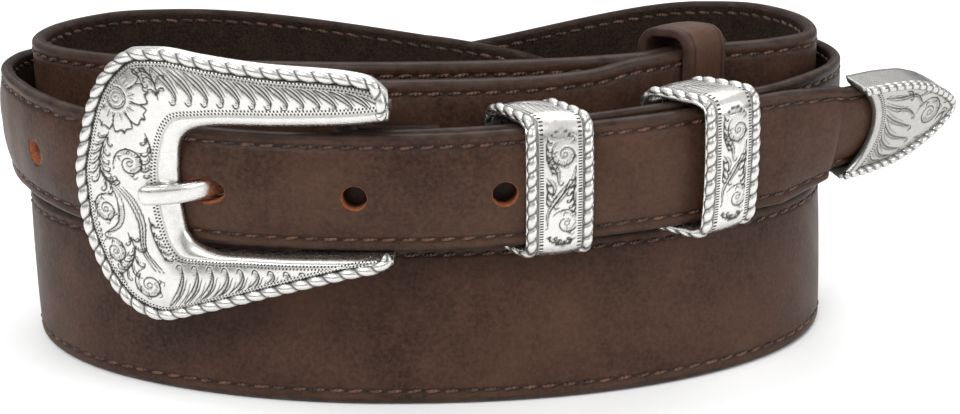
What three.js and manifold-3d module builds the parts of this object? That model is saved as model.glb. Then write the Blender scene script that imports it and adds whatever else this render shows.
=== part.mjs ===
// A western ranger belt, buckled and coiled in two turns that stand on their edge.
// Units are millimetres. X runs right, Y away from the buckle's face and Z up.
import * as THREE from 'three';
import Module from 'manifold-3d';
import { mergeVertices } from 'three/addons/utils/BufferGeometryUtils.js';

// Wide strap
const strapWidth = 38;
const strapThickness = 3.6;

// Narrow straps
const billetWidth = 27;
const tipBilletThickness = 3;       // at its edges
const tipBilletCrown = 1.2;         // how far its padded middle swells
const buckleBilletThickness = 2.6;
const holeDiameter = 5.6;
const holeSpacing = 33;
const outerHoleShift = 16;          // extra way from the tongue's hole to the next one left
const foldLength = 20;              // the part of the buckle's strap that is turned back
const foldEase = 8;                 // the length in which the fold closes behind the bar
const tongueWindow = 14;            // length of the slot in the fold, where the tongue comes out

// Coil: half sizes of the oval that the lower turn's outer face follows
const coilHalfLength = 104;
const coilHalfDepth = 58;
const coilSquareness = 2.15;        // exponent of the oval: 2 is an ellipse

// Buckle
const frameLength = 73;
const frameHeight = 63;
const openingHeight = 30;
const openingReach = 0.64;          // share of the frame's length, from the arms' ends
const armPastBar = 9.5;             // from the heel bar to the arms' ends
const heelBarDiameter = 3;
const barSeat = 3;                  // how far the heel bar runs into each arm
const tongueWidth = 4.4;
const tongueThickness = 2.6;
const tongueEyeWall = 1.8;
const tongueReach = 13;             // past its hole, over the frame's left side
const tongueHoleInset = 5.5;        // from the opening's left side to the tongue's hole
const tongueSlotLength = 9.5;       // the middle hole, drawn long by the tongue
const tongueSlotShift = -0.6;       // its middle, left of where the tongue comes up

// Keepers and tip
const metalKeeperWidth = 15;
const metalKeeperWall = 1.2;
const metalKeeperSlack = 4;         // slack behind them
const metalKeeperSkew = 0.65;       // how far their back trails to the left, per depth
// The metal keepers' places on the coil, with the slack under the straps, how far the right end turns
// inwards per width and how far the back stands higher per depth
const metalKeeperSeats = [
  { angle: 285.3, drop: 0.7, yaw: 0, pitch: 0.12 },
  { angle: 306.8, drop: 0.15, yaw: 0.22, pitch: 0.06 },
];
const leatherLoopWidth = 12;
const leatherLoopWall = 2.2;
const leatherLoopSkew = 0.35;
const leatherLoopRise = 2;          // how far it stands above the straps
const tipFreeLength = 56;           // past the coil, where the end runs straight
const tipNarrowing = 0.8;           // the strap's width inside the tip, as a share
const tipLean = -17;                // in degrees: the tip's head leans out
const tipEase = 3;                  // length in which the strap narrows
const tipEntry = 0.6;                // from there to the ears of the mouth
const tipRise = 2.6;                // how far the end climbs in that length
const tipLength = 37;               // from the ears of its mouth to the point
const tipMouthDepth = 8;            // how far the mouth is hollowed
const tipWall = 1.2;
const tipSleeveShare = 0.42;        // share of the tip's length that the strap fills

// Clearances
const pieceGap = 0.3;               // between pieces that touch
const sleeveGap = 0.55;             // between a keeper and what passes through it
const sewnGap = 0.6;                // between straps that are sewn together on a bend
const tongueSideGap = 1.5;          // beside the tongue, in the fold's slot

// Steps of the lofts
const wideStep = 7;
const narrowStep = 5.5;
const arcSides = 12;

const degree = Math.PI / 180;
const upperTurn = strapWidth + pieceGap;
const wasm = await Module();
wasm.setup();

// A point of the coil: angle 0 is the right end, 90 the back, 180 the left end and 270 the front.
// out is how far the point stands outside the oval.
function coilPoint(angle, out) {
  const c = Math.cos(angle * degree);
  const s = Math.sin(angle * degree);
  const power = 2 / coilSquareness;
  const x = coilHalfLength * Math.sign(c) * Math.abs(c) ** power;
  const y = coilHalfDepth * Math.sign(s) * Math.abs(s) ** power;
  const normal = new THREE.Vector3(
    Math.sign(c) * Math.abs(c) ** (2 - power) / coilHalfLength,
    Math.sign(s) * Math.abs(s) ** (2 - power) / coilHalfDepth,
    0,
  ).normalize();
  return new THREE.Vector3(x, y, 0).addScaledVector(normal, out);
}

// Reads one column of a table at a place between its rows, on a smooth curve through them.
function readTable(rows, key, column, at) {
  const last = rows.length - 1;
  if (at <= rows[0][key]) return rows[0][column];
  if (at >= rows[last][key]) return rows[last][column];
  const i = rows.findIndex((row) => row[key] > at) - 1;
  const slope = (a, b) => (rows[b][column] - rows[a][column]) / (rows[b][key] - rows[a][key]);
  const tangent = (k) => {
    if (k === 0 || k === last) return 0;
    const before = slope(k - 1, k);
    const after = slope(k, k + 1);
    return before * after <= 0 ? 0 : 2 * before * after / (before + after);
  };
  const span = rows[i + 1][key] - rows[i][key];
  const t = (at - rows[i][key]) / span;
  const a = rows[i][column];
  const b = rows[i + 1][column];
  return a * (2 * t ** 3 - 3 * t ** 2 + 1) + b * (3 * t ** 2 - 2 * t ** 3)
    + span * (tangent(i) * (t ** 3 - 2 * t ** 2 + t) + tangent(i + 1) * (t ** 3 - t ** 2));
}

// A route follows a strap's outer face. Each row of its table gives a coil angle, how far the face
// stands out there as a share of coilHalfDepth, how high the strap's lower edge is and how many
// degrees its foot leans out.
class Route {
  constructor(rows, straightRuns = []) {
    const first = rows[0].angle;
    const last = rows[rows.length - 1].angle;
    const count = Math.round(last - first);
    this.marks = Array.from({ length: count + 1 }, (_, i) => {
      const angle = first + i * (last - first) / count;
      return {
        angle,
        point: coilPoint(angle, readTable(rows, 'angle', 'out', angle) * coilHalfDepth),
        height: readTable(rows, 'angle', 'height', angle),
        lean: readTable(rows, 'angle', 'lean', angle),
        narrow: 1,
      };
    });
    const along = new THREE.Vector3()
      .subVectors(this.marks[count].point, this.marks[count - 1].point).normalize();
    straightRuns.forEach(({ run, rise, lean, narrow }) => {
      const end = this.marks[this.marks.length - 1];
      this.marks.push({
        angle: end.angle + 1,
        point: end.point.clone().addScaledVector(along, run),
        height: end.height + rise,
        lean,
        narrow,
      });
    });
    let length = 0;
    this.marks.forEach((mark, i) => {
      if (i > 0) length += mark.point.distanceTo(this.marks[i - 1].point);
      mark.at = length;
    });
    this.length = length;
  }

  lengthAt(angle) {
    return readTable(this.marks, 'angle', 'at', angle);
  }

  // The strap's frame at a length from its start, in millimetres.
  station(at) {
    const place = (s) => {
      const i = Math.max(1, Math.min(this.marks.length - 1, this.marks.findIndex((m) => m.at > s)));
      const k = this.marks[this.marks.length - 1].at <= s ? this.marks.length - 1 : i;
      const a = this.marks[k - 1];
      const b = this.marks[k];
      const share = (s - a.at) / (b.at - a.at);
      return {
        point: a.point.clone().lerp(b.point, share),
        height: a.height + (b.height - a.height) * share,
        lean: a.lean + (b.lean - a.lean) * share,
        narrow: a.narrow + (b.narrow - a.narrow) * share,
      };
    };
    const reach = 2;
    const before = place(at - reach);
    const after = place(at + reach);
    const along = new THREE.Vector3().subVectors(after.point, before.point).normalize();
    return {
      ...place(at),
      along,
      outward: new THREE.Vector3(along.y, -along.x, 0),
      rise: (after.height - before.height) / (2 * reach),
    };
  }

  stations(from, to, step) {
    const count = Math.max(1, Math.round((to - from) / step));
    return Array.from({ length: count + 1 }, (_, i) => this.station(from + (to - from) * i / count));
  }
}

// A point beside a route: out from the strap's outer face, up from its lower edge.
function besideRoute(route, at, out, up) {
  const { point, outward, height } = route.station(at);
  return point.clone().addScaledVector(outward, out).setZ(height + up);
}

// Joins sections with equal numbers of points into one closed body, with its faces turned outwards.
function loft(sections) {
  const count = sections[0].length;
  const positions = sections.flat().flatMap((p) => [p.x, p.y, p.z]);
  const index = [];
  for (let i = 0; i + 1 < sections.length; i += 1) {
    for (let j = 0; j < count; j += 1) {
      const a = i * count + j;
      const b = i * count + (j + 1) % count;
      index.push(a, b, b + count, a, b + count, a + count);
    }
  }
  const end = (sections.length - 1) * count;
  for (let j = 1; j + 1 < count; j += 1) {
    index.push(0, j + 1, j, end, end + j, end + j + 1);
  }
  const corner = (k) => new THREE.Vector3(...positions.slice(index[k] * 3, index[k] * 3 + 3));
  let volume = 0;
  for (let k = 0; k < index.length; k += 3) {
    volume += corner(k).dot(corner(k + 1).cross(corner(k + 2)));
  }
  if (volume < 0) index.reverse();
  const geometry = new THREE.BufferGeometry();
  geometry.setAttribute('position', new THREE.Float32BufferAttribute(positions, 3));
  geometry.setIndex(index);
  return geometry;
}

// Booleans of closed geometries
function toSolid(geometry) {
  const bare = geometry.clone();
  bare.deleteAttribute('normal');
  bare.deleteAttribute('uv');
  const merged = mergeVertices(bare, 1e-4);
  const mesh = new wasm.Mesh({
    numProp: 3,
    vertProperties: new Float32Array(merged.attributes.position.array),
    triVerts: new Uint32Array(merged.index.array),
  });
  return new wasm.Manifold(mesh);
}

function toGeometry(solid) {
  const mesh = solid.getMesh();
  const geometry = new THREE.BufferGeometry();
  geometry.setAttribute('position', new THREE.Float32BufferAttribute(mesh.vertProperties, 3));
  geometry.setIndex(Array.from(mesh.triVerts));
  return geometry;
}

function cut(base, ...tools) {
  return toGeometry(tools.reduce((solid, tool) => solid.subtract(toSolid(tool)), toSolid(base)));
}

function join(...parts) {
  return toGeometry(parts.map(toSolid).reduce((solid, part) => solid.add(part)));
}

// A strap's section as [out, up] points, with 0 out at its outer face and 0 up at its lower edge.
function strapSection(width, thickness, crown) {
  const round = thickness * 0.28;
  const crownShares = crown > 0 ? [0.12, 0.32, 0.5, 0.68, 0.88] : [];
  return [
    [-thickness, round], [-thickness + round, 0], [-round, 0], [0, round],
    ...crownShares.map((share) => [crown * Math.sin(Math.PI * share) ** 0.7, width * share]),
    [0, width - round], [-round, width], [-thickness + round, width], [-thickness, width - round],
  ];
}

// Leans a point of a section about its upper edge. The section's middle is given.
function leaned([u, v], middle, tilt) {
  return [
    u * Math.cos(tilt) + (2 * middle - v) * Math.sin(tilt),
    v * Math.cos(tilt) + u * Math.sin(tilt),
  ];
}

// Sweeps a section along a route. On a slope the section is drawn out so that the strap keeps its
// width, and where the strap narrows it shrinks about its middle.
function sweep(stations, section) {
  return loft(stations.map(({ point, outward, height, lean, rise, narrow }) => {
    const tilt = lean * degree;
    const drawn = Math.hypot(1, rise) * narrow;
    const ups = section.map(([, v]) => v);
    const middle = (Math.min(...ups) + Math.max(...ups)) / 2;
    const turned = section.map(([u, v]) => leaned([u, middle + (v - middle) * drawn], middle, tilt));
    const drop = tilt > 0 ? Math.min(...turned.map(([, v]) => v)) : 0;
    return turned.map(([u, v]) => point.clone().addScaledVector(outward, u).setZ(height + v - drop));
  }));
}

// Main strap: its buckle end lies behind the buckle, its tip end inside it past the leather loop.
const buckleEndHeight = upperTurn - 2;
// From face to face where the loop holds both ends
const loopStackShare = (strapThickness + sleeveGap) / coilHalfDepth;
const mainRows = [
  { angle: 258, out: -0.0879, height: buckleEndHeight, lean: 0 },
  { angle: 280, out: -0.0879, height: buckleEndHeight, lean: 0 },
  { angle: 292, out: -0.1034, height: buckleEndHeight + 0.016 * strapWidth, lean: 0 },
  { angle: 301, out: -0.1552, height: upperTurn, lean: 0 },
  { angle: 309, out: -0.2069, height: upperTurn, lean: 0 },
  { angle: 317, out: -0.231, height: upperTurn, lean: 0 },
  { angle: 332, out: -0.1379, height: upperTurn, lean: 0 },
  { angle: 348, out: -0.0448, height: upperTurn, lean: 0 },
  { angle: 385, out: -0.0345, height: upperTurn, lean: 0 },
  { angle: 400, out: -0.0517, height: upperTurn * 0.97, lean: 0 },
  { angle: 442, out: -0.0517, height: upperTurn * 0.6, lean: 0 },
  { angle: 495, out: -0.0345, height: upperTurn * 0.03, lean: 0 },
  { angle: 510, out: 0, height: 0, lean: 0 },
  { angle: 532, out: 0, height: 0, lean: 0 },
  { angle: 590, out: -0.0103, height: 0, lean: 8 },
  { angle: 630, out: -0.0155, height: 0, lean: 13 },
  { angle: 680, out: -0.0103, height: 0, lean: 9 },
  { angle: 720, out: 0, height: 0, lean: 2 },
  { angle: 742, out: -0.1121, height: 0, lean: 0 },
  { angle: 755, out: -0.1379, height: upperTurn * 0.03, lean: 0 },
  { angle: 802, out: -0.1552, height: upperTurn * 0.6, lean: 0 },
  { angle: 855, out: -0.1276, height: upperTurn * 0.97, lean: 0 },
  { angle: 872, out: -0.0931, height: upperTurn, lean: 0 },
  { angle: 900, out: -0.069, height: upperTurn, lean: 0 },
  { angle: 945, out: -0.1897, height: upperTurn, lean: 0 },
  { angle: 975, out: -0.2517, height: upperTurn, lean: 0 },
  { angle: 1021, out: -0.1621 - loopStackShare, height: upperTurn, lean: 0 },
  { angle: 1029, out: -0.2069 - loopStackShare, height: upperTurn, lean: 0 },
  { angle: 1037, out: -0.231 - loopStackShare, height: upperTurn, lean: 0 },
  { angle: 1046, out: -0.2345 - loopStackShare, height: upperTurn, lean: 0 },
];
const mainRoute = new Route(mainRows);
const mainStrap = sweep(
  mainRoute.stations(0, mainRoute.length, wideStep),
  strapSection(strapWidth, strapThickness, 0),
);

// Tip billet: joined to the outer face at the back left, it stands clear round the left end, passes
// through the buckle and both metal keepers and runs out straight into the tip.
const mainOutAt = (angle) => readTable(mainRows, 'angle', 'out', angle);
const tipSeatShare = (tipBilletThickness + sewnGap) / coilHalfDepth;
const billetHeight = strapWidth + 1;       // lower edge of the narrow straps in front
const tipRows = [
  { angle: 145, out: mainOutAt(865) + tipSeatShare, height: billetHeight + 0.03 * billetWidth, lean: 0 },
  { angle: 155, out: mainOutAt(875) + tipSeatShare, height: billetHeight + 0.067 * billetWidth, lean: 0 },
  { angle: 165, out: 0.0276, height: billetHeight + 0.111 * billetWidth, lean: 0 },
  { angle: 178, out: 0.0621, height: billetHeight + 0.148 * billetWidth, lean: 0 },
  { angle: 194, out: 0.0621, height: billetHeight + 0.17 * billetWidth, lean: 0 },
  { angle: 206, out: 0.0862, height: billetHeight + 0.178 * billetWidth, lean: 0 },
  { angle: 217, out: 0.1379, height: billetHeight + 0.163 * billetWidth, lean: 0 },
  { angle: 229, out: 0.1897, height: billetHeight + 0.126 * billetWidth, lean: 0 },
  { angle: 240, out: 0.1897, height: billetHeight + 0.074 * billetWidth, lean: 0 },
  { angle: 255, out: 0.1759, height: billetHeight + 0.019 * billetWidth, lean: 0 },
  { angle: 270, out: 0.169, height: billetHeight, lean: 0 },
  { angle: 290, out: 0.169, height: billetHeight + 0.052 * billetWidth, lean: 0 },
  { angle: 301, out: 0.169, height: billetHeight + 0.081 * billetWidth, lean: 0 },
  { angle: 312, out: 0.1828, height: billetHeight + 0.126 * billetWidth, lean: 0 },
  { angle: 318, out: 0.2069, height: billetHeight + 0.148 * billetWidth, lean: 0 },
];
const easeStart = tipFreeLength - tipLength - tipEntry - tipEase;
const tipRoute = new Route(tipRows, [
  { run: easeStart, rise: tipRise * 0.3, lean: tipLean * 0.3, narrow: 1 },
  { run: tipEase, rise: tipRise * 0.1, lean: tipLean * 0.8, narrow: tipNarrowing },
  { run: tipEntry + tipLength, rise: tipRise * 0.6, lean: tipLean, narrow: tipNarrowing },
]);
const heelAngle = 263.5;
const frameEndAt = tipRoute.lengthAt(heelAngle) + armPastBar;
const tongueHoleAt = frameEndAt - openingReach * frameLength + tongueHoleInset;
const tipMouthAt = tipRoute.length - tipLength;
const holePlaces = [-2, -1, 1, 2].map(
  (i) => tongueHoleAt + i * holeSpacing - (i < 0 ? outerHoleShift : 0),
);
const holeUp = billetWidth * 0.48;

// A round pin along the outward direction of a route
function pinAcross(route, at, up, diameter, inner, outer) {
  const { outward } = route.station(at);
  const pin = new THREE.CylinderGeometry(diameter / 2, diameter / 2, outer - inner, arcSides);
  const turn = new THREE.Quaternion().setFromUnitVectors(new THREE.Vector3(0, 1, 0), outward);
  const middle = besideRoute(route, at, (inner + outer) / 2, up);
  return pin.applyQuaternion(turn).translate(middle.x, middle.y, middle.z);
}

const tipBilletEnd = tipMouthAt + tipLength * tipSleeveShare;
const drill = (at) => pinAcross(
  tipRoute, at, holeUp, holeDiameter, -tipBilletThickness - 2, tipBilletCrown + 2,
);
const slotReach = (tongueSlotLength - holeDiameter) / 2;
const slotShares = [-1, -0.33, 0.33, 1];
const holePins = [
  ...holePlaces.map(drill),
  ...slotShares.map((share) => drill(tongueHoleAt + tongueSlotShift + share * slotReach)),
];
const easeEnd = tipMouthAt - tipEntry;
const tipBillet = cut(
  sweep(
    [
      ...tipRoute.stations(0, easeEnd - tipEase, narrowStep),
      ...tipRoute.stations(easeEnd - tipEase, easeEnd, tipEase).slice(1),
      ...tipRoute.stations(easeEnd, tipBilletEnd, narrowStep).slice(1),
    ],
    strapSection(billetWidth, tipBilletThickness, tipBilletCrown),
  ),
  ...holePins,
);

// Buckle billet: under the tip billet in front, then round the right end on the wide strap.
const underTip = tipBilletThickness + sleeveGap;
const underTipShare = underTip / coilHalfDepth;
const buckleSeatShare = (buckleBilletThickness + sewnGap) / coilHalfDepth;
const buckleRows = [
  { angle: heelAngle, out: 0.1724 - underTipShare, height: billetHeight, lean: 0 },
  { angle: 280, out: 0.169 - underTipShare, height: billetHeight + 0.022 * billetWidth, lean: 0 },
  { angle: 290, out: 0.169 - underTipShare, height: billetHeight + 0.081 * billetWidth, lean: 0 },
  { angle: 301, out: 0.169 - underTipShare, height: billetHeight + 0.126 * billetWidth, lean: 0 },
  { angle: 315, out: 0.1828 - underTipShare, height: billetHeight + 0.163 * billetWidth, lean: 0 },
  { angle: 328, out: 0.0931, height: billetHeight + 0.17 * billetWidth, lean: 0 },
  { angle: 345, out: 0.069, height: billetHeight + 0.156 * billetWidth, lean: 0 },
  { angle: 362, out: 0.0517, height: billetHeight + 0.133 * billetWidth, lean: 0 },
  { angle: 384, out: mainOutAt(384) + buckleSeatShare, height: billetHeight + 0.111 * billetWidth, lean: 0 },
  { angle: 400, out: mainOutAt(400) + buckleSeatShare, height: billetHeight + 0.074 * billetWidth, lean: 0 },
  { angle: 412, out: mainOutAt(412) + buckleSeatShare, height: billetHeight - 0.037 * billetWidth, lean: 0 },
];
const buckleRoute = new Route(buckleRows);

// Its end is turned back round the heel bar: a curl about the bar and a flat layer behind.
const barOut = -(buckleBilletThickness + pieceGap + heelBarDiameter / 2);
const curlRadius = heelBarDiameter / 2 + pieceGap + buckleBilletThickness / 2;
const curlSteps = 8;
function foldStations() {
  const start = buckleRoute.station(0);
  const centre = start.point.clone().addScaledVector(start.outward, barOut);
  const curl = Array.from({ length: curlSteps + 1 }, (_, i) => {
    const turn = Math.PI * (1 - i / curlSteps);
    const outward = start.outward.clone().multiplyScalar(-Math.cos(turn))
      .addScaledVector(start.along, -Math.sin(turn));
    return { outward, middle: centre.clone().addScaledVector(outward, curlRadius), height: start.height };
  });
  const back = [1, 2, 3, 4].map((i) => {
    const at = foldLength * i / 4;
    const station = buckleRoute.station(at);
    const open = 2 * curlRadius * Math.max(0, 1 - at / foldEase)
      + (buckleBilletThickness + pieceGap) * Math.min(1, at / foldEase);
    return {
      outward: station.outward.clone().negate(),
      middle: station.point.clone().addScaledVector(station.outward, -buckleBilletThickness / 2 - open),
      height: station.height,
    };
  });
  return [...curl, ...back].reverse();
}
const buckleSection = strapSection(billetWidth, buckleBilletThickness, 0);
const buckleStations = [
  ...foldStations().map(({ outward, middle, height }) => ({
    outward,
    point: middle.clone().addScaledVector(outward, buckleBilletThickness / 2),
    height,
    lean: 0,
    rise: 0,
    narrow: 1,
  })),
  ...buckleRoute.stations(0, buckleRoute.length, narrowStep).slice(1),
];

// The slot lets the tongue out of the fold.
const slotHeight = tongueWidth + 2 * tongueSideGap;
const slotTool = new THREE.BoxGeometry(tongueWindow, tongueWindow * 2, slotHeight);
const heelStation = buckleRoute.station(0);
slotTool.rotateZ(Math.atan2(heelStation.along.y, heelStation.along.x));
const slotMiddle = besideRoute(buckleRoute, -heelBarDiameter, barOut, billetWidth / 2);
slotTool.translate(slotMiddle.x, slotMiddle.y, slotMiddle.z);
const buckleBillet = cut(sweep(buckleStations, buckleSection), slotTool);

// A sleeve along a route: a tube whose bore has four corners and whose sides swell between the rows.
// Each row gives a share of the sleeve's width and how far its outside swells there. With skew the
// sleeve's back trails behind its front, with yaw its far end turns inwards and with pitch its back
// stands higher.
function sleeve(route, middleAt, width, bore, wall, crown, turned, rows) {
  const { inner, outer, lower, upper } = bore;
  const { skew, yaw, pitch } = turned;
  const ring = (share, grow, bulge) => {
    const beside = (share - 0.5) * width;
    const round = wall * 0.8;
    const low = lower - grow;
    const high = upper + grow;
    const back = inner - grow;
    const front = outer + grow;
    const swollen = [0.3, 0.5, 0.7].map(
      (up) => [front + bulge * Math.sin(Math.PI * up) ** 0.5, low + (high - low) * up],
    );
    const corners = [
      [back, low + round], [back + round, low], [front - round, low], [front, low + round],
      ...swollen,
      [front, high - round], [front - round, high], [back + round, high], [back, high - round],
    ];
    return corners.map(([u, v]) => besideRoute(
      route,
      middleAt + beside + Math.min(u, outer) * skew,
      u - beside * yaw,
      v + Math.max(outer - u, 0) * pitch,
    ));
  };
  const outside = loft(rows.map(({ share, swell }) => ring(share, wall + swell, crown)));
  const hollow = loft([-0.2, 0.5, 1.2].map((share) => ring(share, 0, crown)));
  return cut(outside, hollow);
}

const metalKeeperRows = [
  { share: 0, swell: 0 },
  { share: 0.05, swell: 0.7 },
  { share: 0.14, swell: 0.7 },
  { share: 0.19, swell: 0 },
  { share: 0.5, swell: 0.25 },
  { share: 0.81, swell: 0 },
  { share: 0.86, swell: 0.7 },
  { share: 0.95, swell: 0.7 },
  { share: 1, swell: 0 },
];
const stackInner = -underTip - buckleBilletThickness;
function metalKeeper({ angle, drop, yaw, pitch }) {
  const at = tipRoute.lengthAt(angle);
  const step = readTable(buckleRows, 'angle', 'height', angle)
    - readTable(tipRows, 'angle', 'height', angle);
  const bore = {
    inner: stackInner - sleeveGap - metalKeeperSlack,
    outer: sleeveGap + yaw * metalKeeperWidth / 2,
    lower: Math.min(0, step) - sleeveGap - drop,
    upper: billetWidth + Math.max(0, step) + sleeveGap,
  };
  return sleeve(
    tipRoute,
    at,
    metalKeeperWidth,
    bore,
    metalKeeperWall,
    tipBilletCrown,
    { skew: metalKeeperSkew, yaw, pitch },
    metalKeeperRows,
  );
}

// The leather loop holds both ends of the wide strap.
const loopRoute = new Route(mainRows.slice(0, 8));
const loopRows = [
  { share: 0, swell: -0.4 },
  { share: 0.08, swell: 0 },
  { share: 0.92, swell: 0 },
  { share: 1, swell: -0.4 },
];
const loopAngle = 313;
const tipEndBehind = (mainOutAt(loopAngle) - mainOutAt(loopAngle + 720)) * coilHalfDepth;
const loopBore = {
  inner: -tipEndBehind - strapThickness - sleeveGap - pieceGap,
  outer: sleeveGap,
  lower: -sleeveGap,
  upper: strapWidth + sleeveGap + leatherLoopRise,
};
const leatherLoop = sleeve(
  loopRoute,
  loopRoute.lengthAt(loopAngle),
  leatherLoopWidth,
  loopBore,
  leatherLoopWall,
  0,
  { skew: leatherLoopSkew, yaw: 0, pitch: 0 },
  loopRows,
);

// Buckle frame: its outline and opening run from the upper arm's end round the left to the lower
// arm's end, and both ends reach back to hold the heel bar. along is a share of frameLength from the
// arms' ends, outerUp of frameHeight from its middle, innerUp of openingHeight from its middle, and
// back is how deep the metal reaches.
const barBack = -underTip + barOut - heelBarDiameter / 2;
const frameRows = [
  { turn: 0, outerAlong: 0.0, outerUp: 0.37, innerAlong: 0.0, innerUp: 0.56, back: barBack + 1 },
  { turn: 0.6, outerAlong: 0.05, outerUp: 0.42, innerAlong: 0.05, innerUp: 0.54, back: barBack },
  { turn: 1, outerAlong: 0.14, outerUp: 0.44, innerAlong: 0.14, innerUp: 0.52, back: barBack },
  { turn: 2, outerAlong: 0.36, outerUp: 0.455, innerAlong: 0.34, innerUp: 0.5, back: 0 },
  { turn: 3, outerAlong: 0.55, outerUp: 0.48, innerAlong: 0.5, innerUp: 0.49, back: 0.6 },
  { turn: 4, outerAlong: 0.67, outerUp: 0.5, innerAlong: 0.58, innerUp: 0.45, back: 1.6 },
  { turn: 5, outerAlong: 0.76, outerUp: 0.495, innerAlong: 0.615, innerUp: 0.39, back: 1.6 },
  { turn: 6, outerAlong: 0.85, outerUp: 0.43, innerAlong: 0.63, innerUp: 0.31, back: 1.6 },
  { turn: 7, outerAlong: 0.92, outerUp: 0.32, innerAlong: 0.635, innerUp: 0.22, back: 1.6 },
  { turn: 8, outerAlong: 0.97, outerUp: 0.17, innerAlong: openingReach, innerUp: 0.1, back: 1.6 },
  { turn: 9, outerAlong: 1.0, outerUp: 0.02, innerAlong: openingReach, innerUp: 0, back: 1.6 },
  { turn: 10, outerAlong: 0.995, outerUp: -0.13, innerAlong: openingReach, innerUp: -0.1, back: 1.6 },
  { turn: 11, outerAlong: 0.96, outerUp: -0.27, innerAlong: 0.635, innerUp: -0.22, back: 1.6 },
  { turn: 12, outerAlong: 0.91, outerUp: -0.38, innerAlong: 0.63, innerUp: -0.31, back: 1.6 },
  { turn: 13, outerAlong: 0.83, outerUp: -0.47, innerAlong: 0.615, innerUp: -0.39, back: 1.6 },
  { turn: 14, outerAlong: 0.74, outerUp: -0.5, innerAlong: 0.58, innerUp: -0.45, back: 1.6 },
  { turn: 15, outerAlong: 0.6, outerUp: -0.46, innerAlong: 0.5, innerUp: -0.49, back: 0.6 },
  { turn: 16, outerAlong: 0.38, outerUp: -0.385, innerAlong: 0.34, innerUp: -0.5, back: 0 },
  { turn: 17, outerAlong: 0.15, outerUp: -0.31, innerAlong: 0.14, innerUp: -0.52, back: barBack },
  { turn: 17.4, outerAlong: 0.06, outerUp: -0.285, innerAlong: 0.05, innerUp: -0.54, back: barBack },
  { turn: 18, outerAlong: 0.0, outerUp: -0.26, innerAlong: 0.0, innerUp: -0.56, back: barBack + 1 },
];
// Across the frame, from the opening to the outline: a share of its width and its face's height.
const frameFace = [
  { share: 0, out: 2.2 }, { share: 0.1, out: 3.9 }, { share: 0.5, out: 5 }, { share: 0.84, out: 4.3 },
  { share: 0.9, out: 5.1 }, { share: 0.97, out: 4.9 }, { share: 1, out: 3.4 },
];
const frameMiddleUp = billetWidth / 2;
const frameRise = 1.6;              // its left side stands higher, as the strap does there
function framePoint(along, up, out) {
  return besideRoute(tipRoute, frameEndAt - along * frameLength, out, 0)
    .setZ(billetHeight + frameMiddleUp + up + frameRise * Math.min(1, along + 0.4));
}
function frameSection(turn) {
  const read = (column) => readTable(frameRows, 'turn', column, turn);
  const mix = (share) => [
    read('innerAlong') + (read('outerAlong') - read('innerAlong')) * share,
    read('innerUp') * openingHeight * (1 - share) + read('outerUp') * frameHeight * share,
  ];
  const face = frameFace.map(({ share, out }) => framePoint(...mix(share), out));
  const behind = [0.94, 0.5, 0.06].map((share) => framePoint(...mix(share), read('back')));
  return [...face, ...behind];
}
const frameSteps = 40;
const frameBody = loft(Array.from({ length: frameSteps + 1 }, (_, i) => frameSection(18 * i / frameSteps)));

// The heel bar stands between the arms' ends, inside the fold.
const barHeight = openingHeight + 2 * barSeat;
const heelBar = new THREE.CylinderGeometry(heelBarDiameter / 2, heelBarDiameter / 2, barHeight, arcSides)
  .rotateX(Math.PI / 2);
const heelAlong = (frameEndAt - tipRoute.lengthAt(heelAngle)) / frameLength;
const heelBarMiddle = besideRoute(buckleRoute, 0, barOut, 0).setZ(framePoint(heelAlong, 0, 0).z);
heelBar.translate(heelBarMiddle.x, heelBarMiddle.y, heelBarMiddle.z);
const buckleFrame = join(frameBody, heelBar);

// Tongue: an eye round the heel bar, then a curved bar that comes up through the middle hole and
// lies over the frame's left side. Each row gives how far left of the hole and how far out it runs.
const tongueRows = [
  { left: -5, out: -tipBilletThickness - pieceGap - tongueThickness / 2 - 0.3 },
  { left: -3, out: -tipBilletThickness - pieceGap - tongueThickness / 2 },
  { left: -1, out: -2.9 },
  { left: 1, out: -0.2 },
  { left: 3, out: 2.3 },
  { left: 6, out: 4.7 },
  { left: 9.5, out: 6.4 },
  { left: tongueReach - 1.5, out: 6.9 },
  { left: tongueReach, out: 6.9 },
];
const tongueEyeDiameter = heelBarDiameter + 2 * (pieceGap + tongueEyeWall);
const tongueSteps = 22;
function tongueSection(centre, across, size) {
  const w = tongueWidth / 2 * size;
  const t = tongueThickness / 2 * size;
  return [
    [-w, -t * 0.5], [-w * 0.6, -t], [w * 0.6, -t], [w, -t * 0.5],
    [w, t * 0.5], [w * 0.6, t], [-w * 0.6, t], [-w, t * 0.5],
  ].map(([up, out]) => centre.clone().addScaledVector(across, out).add(new THREE.Vector3(0, 0, up)));
}
function tongueGeometry() {
  const level = heelBarMiddle.z;
  const eyeMiddleRadius = heelBarDiameter / 2 + pieceGap + tongueEyeWall / 2;
  const eyeSide = heelBarMiddle.clone().addScaledVector(heelStation.along, -eyeMiddleRadius);
  const run = tongueRows.map(({ left, out }) => besideRoute(tipRoute, tongueHoleAt - left, out, 0));
  const middles = [eyeSide, ...run.map((point) => point.setZ(level))];
  const curve = new THREE.CatmullRomCurve3(middles, false, 'centripetal');
  const sections = Array.from({ length: tongueSteps + 1 }, (_, i) => {
    const share = i / tongueSteps;
    const along = curve.getTangentAt(share);
    const across = new THREE.Vector3(-along.y, along.x, 0).normalize().negate();
    return tongueSection(curve.getPointAt(share), across, share > 0.97 ? 0.6 : 1);
  });
  const eye = new THREE.CylinderGeometry(
    tongueEyeDiameter / 2, tongueEyeDiameter / 2, tongueWidth, arcSides,
  ).rotateX(Math.PI / 2).translate(heelBarMiddle.x, heelBarMiddle.y, level);
  const bore = new THREE.CylinderGeometry(
    heelBarDiameter / 2 + pieceGap, heelBarDiameter / 2 + pieceGap, tongueWidth * 2, arcSides,
  ).rotateX(Math.PI / 2).translate(heelBarMiddle.x, heelBarMiddle.y, level);
  return cut(join(loft(sections), eye), bore);
}
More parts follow.
